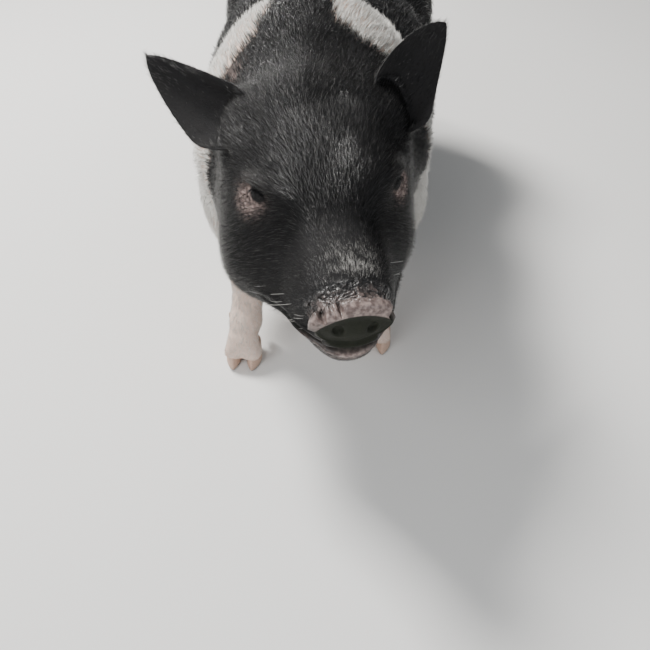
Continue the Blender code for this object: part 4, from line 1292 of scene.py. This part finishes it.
def skin_marks(skin):
    """Keeps the markings, the pink and the dark and wet places on the skin for its finish; the dark
    places include painted shade.
    """
    points = points_of(skin.data)
    local = head_place(points)
    mark(skin, "pale", fade(0.45, 0.98, marking(points)))
    mark(skin, "pink", pink_shares(points))
    # The disc mark holds the disc's dark face and the painted shade in the mouth's gap.
    mark(skin, "disc", disc_and_mouth_shade(points))
    disc, _ = disc_place(local)
    pad = 0.7 * fade(0.012, 0.008, disc[:, 1]) * (1 - disc_and_mouth_shade(points))
    mark(skin, "wet", np.clip(0.10 * disc_and_mouth_shade(points) + wrinkled_band(local) + pad, 0, 1))
    mark(skin, "folds", fold_tops(disc, SNOUT_SPACING) * wrinkled_band(local))


def whiskers():
    """Long pale hairs on the muzzle and chin, and a few over the eyes."""
    dice = np.random.default_rng(SEED + 2)
    roots, ups, lies = [], [], []
    for number in range(WHISKERS):
        side = 1 if number % 2 else -1
        back = dice.uniform(-0.108, -0.010)
        height = dice.uniform(-0.112, -0.050)
        start = HEAD @ Vector((0, back, height))
        out = Vector((side, dice.uniform(-0.2, 0.2), dice.uniform(-0.5, 0.1))).normalized()
        out = HEAD.to_3x3() @ out
        root = come_out(np.array([start]), np.array([out]), skin_distance)[0]
        roots.append(root)
        ups.append(out)
        lies.append(HEAD.to_3x3() @ Vector((side * 0.5, 0.6, -0.4)))
    roots = np.array(roots)
    ups = unit(np.array(ups))
    lies = laid(np.array(lies), ups)
    lengths = dice.uniform(0.018, 0.042, WHISKERS)
    widths = np.full(WHISKERS, WHISKER_WIDTH)
    lifts = np.radians(dice.uniform(25, 55, WHISKERS))
    tones = (np.full(WHISKERS, 0.45), np.full(WHISKERS, 0.85))
    places = np.stack([np.linspace(0.02, 0.98, WHISKERS), np.full(WHISKERS, 0.5)], axis=1)
    return tufts("whiskers", roots, ups, lies, lengths, widths, lifts, tones, places, 6, 1.0)


def tassel():
    """The long hair round the tip of the tail."""
    dice = np.random.default_rng(SEED + 3)
    count = TASSEL_HAIRS
    tip = TAIL_LINE[-1]
    angles = dice.uniform(0, 2 * math.pi, count)
    up = np.stack([np.cos(angles), np.sin(angles), np.zeros(count)], axis=1)
    height = dice.uniform(-0.002, 0.030, count)
    roots = tip + up * 0.0035 + np.stack([np.zeros(count), np.zeros(count), height], axis=1)
    lies = np.tile((0.02, 0.0, -1.0), (count, 1))
    lies = unit(lies + 0.10 * dice.normal(0, 1, (count, 3)) * np.array((1, 1, 0)))
    lies = laid(lies, up)
    lengths = dice.uniform(0.024, 0.046, count)
    lifts = np.radians(dice.uniform(6, 22, count))
    tones = (dice.uniform(0.05, 0.5, count), dice.uniform(0.4, 0.9, count))
    places = np.stack([dice.uniform(0.05, 0.95, count), dice.uniform(0.05, 0.95, count)], axis=1)
    widths = np.full(count, TASSEL_HAIR_WIDTH)
    return tufts("tassel", roots, up, lies, lengths, widths, lifts, tones, places, 4)


def lashes(side):
    """Dark lashes along the upper lid, longest in the middle."""
    dice = np.random.default_rng(SEED + 4)
    shares = np.linspace(-0.86, 0.86, LASHES)
    height = UPPER_LID * (1 - shares**2)
    x = shares * LID_HALF_LENGTH
    shell = EYE_RADIUS + LID_THICKNESS * 0.75
    z = np.sqrt(shell**2 - x**2 - height**2)
    local = np.stack([x, height + 0.0006, z], axis=1)
    up = unit(local)
    fall = dice.uniform(-0.9, 0.5, LASHES)
    lie = unit(np.stack([shares * 0.6, fall, np.full(LASHES, 0.5)], axis=1))
    roots = out_of_frame(EYES[side], local)
    up = turned(EYES[side], up)
    lie = laid(turned(EYES[side], lie), up)
    lengths = LASH_LENGTH * (1 - 0.4 * shares**2) * dice.uniform(0.7, 1.1, LASHES)
    widths = np.full(LASHES, LASH_WIDTH)
    lifts = np.radians(dice.uniform(18, 50, LASHES))
    tones = (np.full(LASHES, 0.0), np.full(LASHES, 0.02))
    places = np.stack([np.linspace(0.05, 0.95, LASHES), np.full(LASHES, 0.5)], axis=1)
    return tufts(f"lashes_{NAMES[side]}", roots, up, lie, lengths, widths, lifts, tones, places, 4)


def eyeball(side):
    """An eyeball with a bulging cornea over a brown iris and a level oval pupil."""
    bm = bmesh.new()
    bmesh.ops.create_uvsphere(bm, u_segments=96, v_segments=64, radius=EYE_RADIUS - 0.0002)
    obj = object_from(bm, f"eyeball_{NAMES[side]}")
    points = points_of(obj.data)
    from_axis = np.arctan2(np.hypot(points[:, 0], points[:, 1]), points[:, 2])
    oval = np.arctan2(np.hypot(points[:, 0] * 0.72, points[:, 1]), points[:, 2])
    bulge = 1 + 0.045 * fade(0.62, 0.15, from_axis)
    mark(obj, "iris", fade(0.86, 0.76, from_axis))
    mark(obj, "pupil", fade(0.27, 0.22, oval))
    mark(obj, "turn", np.arctan2(points[:, 1], points[:, 0]))
    put_points(obj.data, out_of_frame(EYES[side], points * bulge[:, None]))
    if side < 0:
        obj.data.flip_normals()
    obj.data.shade_smooth()
    return obj


def coronet_height(y, foot_y):
    """The height of the slanted line where a foot's skin ends and its claws begin."""
    return CORONET_HEIGHT - math.tan(CORONET_TILT) * (y - foot_y)


def horn_piece(name, loops, heights):
    """A closed horn made from its loops of points, with the height of each loop kept on it."""
    bm = bmesh.new()
    loops = [[bm.verts.new(point) for point in loop] for loop in loops]
    join_loops(bm, loops)
    bm.faces.new(loops[0])
    bm.faces.new(loops[-1])
    bmesh.ops.recalc_face_normals(bm, faces=bm.faces)
    obj = object_from(bm, name)
    mark(obj, "height", np.repeat(heights, len(loops[0])))
    obj.data.shade_smooth()
    return obj


def claw(name, x, side, foot_y):
    """A horn claw with a flat sole, a blunt worn edge and growth rings, cut off along the coronet."""
    steps, around = 22, 56
    loops = []
    for step in range(steps + 1):
        share = step / steps
        loop = []
        for angle in turns(around):
            across = math.cos(angle)
            along = math.sin(angle)
            width = CLAW_WIDTH / 2 * (0.78 if across * side < 0 else 1.0)
            if along < 0:
                width *= 1 - 0.42 * along**2
            size = 1 - 0.13 * share
            size *= 1 - 0.10 * (1 - min(share / 0.10, 1)) ** 2
            size += 0.012 * math.sin(share * 40 + 2 * math.sin(angle)) * (share > 0.08)
            y = foot_y - 0.006 + CLAW_SLOPE * share * 0.62 + along * CLAW_LENGTH / 2 * size
            top = coronet_height(y, foot_y) + CLAW_TUCKED
            loop.append((x + side * CLAW_SPACING + across * width * size, y, top * share))
        loops.append(loop)
    return horn_piece(name, loops, np.linspace(0, 1, steps + 1))


def dewclaw(name, x, side, foot_y):
    """A small blunt horn behind the foot."""
    steps, around = 16, 24
    root = Vector((x + side * 0.012, foot_y + 0.022, 0.046))
    start = root + Vector((0, -0.004, 0.006))
    bend = root + Vector((side * 0.002, 0.009, -0.004))
    end = root + Vector((side * 0.003, 0.014, -0.020))
    loops = []
    for step in range(steps + 1):
        share = step / steps
        centre = start * (1 - share) ** 2 + bend * 2 * share * (1 - share) + end * share**2
        size = DEWCLAW_RADIUS * math.sqrt(max(1 - share**3, 0.02)) * (1 + 0.02 * math.sin(share * 30))
        loop = []
        for angle in turns(around):
            out = Vector((math.cos(angle), 0.55 * math.sin(angle), 0.8 * math.sin(angle)))
            loop.append(centre + out * size)
        loops.append(loop)
    return horn_piece(name, loops, np.linspace(1, 0, steps + 1))


class Socket:
    """A socket of a node tree. Arithmetic on it adds the Math nodes."""

    def __init__(self, finish, socket):
        self.finish = finish
        self.socket = socket

    def math(self, operation, *values):
        inputs = dict(enumerate(values))
        return self.finish.node("Math", {"operation": operation}, inputs)

    def __add__(self, other):
        return self.math("ADD", self, other)

    def __mul__(self, other):
        return self.math("MULTIPLY", self, other)

    def __sub__(self, other):
        return self.math("SUBTRACT", self, other)

    def __rsub__(self, other):
        return self.math("SUBTRACT", other, self)

    __radd__ = __add__
    __rmul__ = __mul__

    def kept(self):
        """The value kept between 0 and 1."""
        return self.finish.node("Clamp", {}, {"Value": self})

    def step(self, low, high):
        """0 below low and 1 above high, softly."""
        settings = {"interpolation_type": "SMOOTHSTEP"}
        return self.finish.node("MapRange", settings, {"Value": self, "From Min": low, "From Max": high})


class Finish:
    """A material whose nodes are written as expressions."""

    def __init__(self, name):
        self.material = bpy.data.materials.new(name)
        self.material.use_nodes = True
        self.tree = self.material.node_tree
        self.shader = self.tree.nodes["Principled BSDF"]

    def feed(self, socket, value):
        if isinstance(value, Socket):
            self.tree.links.new(value.socket, socket)
        elif isinstance(value, tuple) and len(value) == 3 and socket.type == "RGBA":
            socket.default_value = (*value, 1)
        else:
            socket.default_value = value

    def node(self, kind, settings, inputs, output=0):
        """Adds a node of a kind, its settings first, then the values or links of its sockets."""
        made = self.tree.nodes.new("ShaderNode" + kind)
        for key, value in settings.items():
            setattr(made, key, value)
        for key, value in inputs.items():
            self.feed(made.inputs[key], value)
        return Socket(self, made.outputs[output])

    def mark(self, name):
        return self.node("Attribute", {"attribute_name": name}, {}, 2)

    def mix(self, share, first, second):
        settings = {"data_type": "RGBA"}
        return self.node("Mix", settings, {0: share, 6: first, 7: second}, 2)

    def noise(self, scale, detail=3.0, roughness=0.5):
        place = self.node("TexCoord", {}, {}, 3)
        inputs = {"Vector": place, "Scale": scale, "Detail": detail, "Roughness": roughness}
        return self.node("TexNoise", {}, inputs)

    def cells(self, scale):
        place = self.node("TexCoord", {}, {}, 3)
        return self.node("TexVoronoi", {}, {"Vector": place, "Scale": scale})

    def rings(self, value, **inputs):
        """Noise that changes with one value only."""
        return self.node("TexNoise", {"noise_dimensions": "1D"}, {"W": value, **inputs})

    def bump(self, height, strength, depth):
        return self.node("Bump", {}, {"Strength": strength, "Distance": depth, "Height": height})

    def surface(self, **values):
        for key, value in values.items():
            self.feed(self.shader.inputs[key.replace("_", " ")], value)
        return self.material


def skin_finish():
    """Black and pink hide, with the grey-green snout disc darkened nearly to black as painted shade, its
    creased band and its pale rim, and painted shade in the mouth's gap.
    """
    hide = Finish("pig_hide")
    pale = hide.mark("pale")
    pink = hide.mark("pink")
    disc = hide.mark("disc")
    wet = hide.mark("wet")
    folds = hide.mark("folds")
    broad = hide.noise(28, 4)
    fine = hide.noise(420, 4, 0.6)
    blotches = hide.noise(230, 3)
    flecks = hide.cells(900)
    dark = hide.mix(broad, (0.005, 0.005, 0.006), (0.013, 0.012, 0.012))
    rosy = hide.mix(broad, (0.58, 0.43, 0.36), (0.70, 0.57, 0.49))
    dull = hide.mix(blotches.step(0.36, 0.64), (0.145, 0.105, 0.097), (0.35, 0.270, 0.245))
    colour = hide.mix(pale, dark, rosy)
    colour = hide.mix((pink * (0.55 + fine * 0.8)).kept(), colour, dull)
    # The disc's own grey-green, darkened nearly to black as painted shade; the disc mark also paints
    # shade into the mouth's gap.
    shaded_slate = hide.mix(hide.noise(150, 3), (0.006, 0.007, 0.004), (0.015, 0.017, 0.010))
    colour = hide.mix(disc, colour, shaded_slate)
    grain = fine * 0.6 + flecks * 0.5 + folds * 0.8
    gloss = 0.74 - wet * 0.38 + fine * 0.10 + disc * 0.10
    return hide.surface(
        Base_Color=colour,
        Roughness=gloss,
        Specular_IOR_Level=0.24,
        Coat_Weight=wet * 0.5,
        Coat_Roughness=0.26,
        Subsurface_Weight=0.05,
        Subsurface_Radius=(0.006, 0.003, 0.002),
        Normal=hide.bump(grain, 0.55, 0.0007),
    )


def hair_finish():
    """Bristles from black to white by the tone kept on them, with a dull glint. The tone holds the white
    marking and the pale tips with their painted glint and rim light.
    """
    hair = Finish("bristles")
    pale = hair.mark("pale")
    tone = hair.noise(60, 2)
    black = hair.mix(tone, (0.004, 0.004, 0.005), (0.010, 0.010, 0.011))
    white = hair.mix(tone, (0.80, 0.78, 0.73), (0.91, 0.90, 0.87))
    return hair.surface(
        Base_Color=hair.mix(pale, black, white),
        Roughness=0.24 + pale * 0.16,
        Specular_IOR_Level=0.50,
    )


def eye_finish():
    """A wet dark brown eye, its iris and white darkened nearly to black as painted shade."""
    eye = Finish("wet_eye")
    iris = eye.mark("iris")
    pupil = eye.mark("pupil")
    rays = eye.rings(eye.mark("turn") * 6, Scale=3.0)
    # Painted shade: iris and white are darkened nearly to black, so the eye reads as a shadowed dip.
    brown = eye.mix(rays, (0.006, 0.003, 0.002), (0.022, 0.011, 0.006))
    white = eye.mix(eye.noise(300, 3), (0.012, 0.008, 0.007), (0.030, 0.021, 0.018))
    colour = eye.mix(iris, white, brown)
    return eye.surface(
        Base_Color=eye.mix(pupil, colour, (0.002, 0.002, 0.002)),
        Roughness=0.30,
        Specular_IOR_Level=0.25,
        Coat_Weight=0.22,
        Coat_Roughness=0.04,
    )


def horn_finish():
    """Pale orange-pink horn, ringed and streaked, worn grey at the ground."""
    horn = Finish("claw_horn")
    height = horn.mark("height")
    streaks = horn.noise(240, 4, 0.6)
    rings = horn.rings(height * 9, Scale=3.2, Detail=3.0)
    base = horn.mix(streaks, (0.48, 0.31, 0.23), (0.68, 0.50, 0.40))
    base = horn.mix(rings.step(0.40, 0.62) * 0.5, base, (0.36, 0.23, 0.17))
    worn = horn.mix(streaks, (0.12, 0.09, 0.07), (0.30, 0.23, 0.18))
    return horn.surface(
        Base_Color=horn.mix(height.step(0.20, 0.0) * 0.75, base, worn),
        Roughness=0.38 + streaks * 0.25,
        Normal=horn.bump(rings * 0.7 + streaks * 0.4, 0.5, 0.0008),
    )


def floor_finish():
    """A plain pale matt floor."""
    floor = Finish("pale_floor")
    cloud = floor.noise(1.5, 2)
    return floor.surface(
        Base_Color=floor.mix(cloud, (0.74, 0.735, 0.72), (0.79, 0.785, 0.77)),
        Roughness=0.85,
    )


def dress(obj, finish, slot, *nodes):
    """Moves a piece to where the solids are, gives it its finish and ties it to the frame."""
    obj.data.transform(Matrix.Translation(SHIFT))
    obj.data.materials.clear()
    obj.data.materials.append(finish)
    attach(obj, "root")
    if nodes:
        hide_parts(*nodes)


def shift_to_solids():
    """How far the solids were moved so that the origin is under the middle of them."""
    low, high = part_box("eye_left")
    return (low + high) / 2 - HEAD @ EYE.translation


SHIFT = shift_to_solids()


def stage():
    """The floor, the lights and the camera."""
    bm = bmesh.new()
    bmesh.ops.create_grid(bm, x_segments=8, y_segments=8, size=5.0)
    floor = object_from(bm, "floor")
    floor.data.materials.append(floor_finish())
    for name, (place, size, power, colour) in LAMPS.items():
        light = bpy.data.lights.new(name, "AREA")
        light.size = size
        light.energy = power
        light.color = colour
        lamp = added(name, light)
        lamp.location = place
        aim = LAMPS_AIM - Vector(place)
        lamp.rotation_euler = aim.to_track_quat("-Z", "Y").to_euler()
    world = bpy.data.worlds.new("studio")
    world.use_nodes = True
    background = world.node_tree.nodes["Background"].inputs
    background["Color"].default_value = (0.82, 0.84, 0.86, 1)
    background["Strength"].default_value = 0.22
    bpy.context.scene.world = world
    camera = added("camera", bpy.data.cameras.new("camera"))
    camera.data.angle = CAMERA_ANGLE
    camera.data.clip_start = 0.02
    turn = Matrix.Rotation(CAMERA_YAW, 4, "Z") @ Matrix.Rotation(math.pi / 2 - CAMERA_PITCH, 4, "X")
    camera.matrix_world = Matrix.Translation(CAMERA_PLACE + SHIFT) @ turn
    bpy.context.scene.camera = camera


def feet():
    """The name, side and place of each foot."""
    for side, name in NAMES.items():
        yield f"foreleg_{name}", side, side * STANCE_HALF_WIDTH, FORE_FOOT - FORE_STEPS[side]
        yield f"hindleg_{name}", side, side * STANCE_HALF_WIDTH, HIND_FOOT - HIND_STEPS[side]


def main():
    skin = skin_form()
    bake_map(skin)
    skin_marks(skin)
    skin.data.shade_smooth()
    coat_pieces = coat(skin)
    hide = skin_finish()
    hair = hair_finish()
    horn = horn_finish()
    wet = eye_finish()
    legs = [name for name, _, _, _ in feet()]
    flesh = ["head", "snout", "neck", "torso", "tail", "ear_left", "ear_right"]
    dress(skin, hide, "black_hide", *flesh, *legs)
    for piece in coat_pieces + [whiskers(), tassel()]:
        dress(piece, hair, "black_hide")
    for side, name in NAMES.items():
        dress(eyeball(side), wet, "eye", f"eye_{name}")
        dress(lashes(side), hair, "black_hide")
    for name, side, x, foot_y in feet():
        for out, which in ((side, "outer"), (-side, "inner")):
            node = f"{name}_claw_{which}"
            dress(claw(f"{name}_{which}_horn", x, out, foot_y), horn, "claw_horn", node)
            dress(dewclaw(f"{name}_{which}_dewclaw", x, out, foot_y), horn, "claw_horn")
    stage()


main()
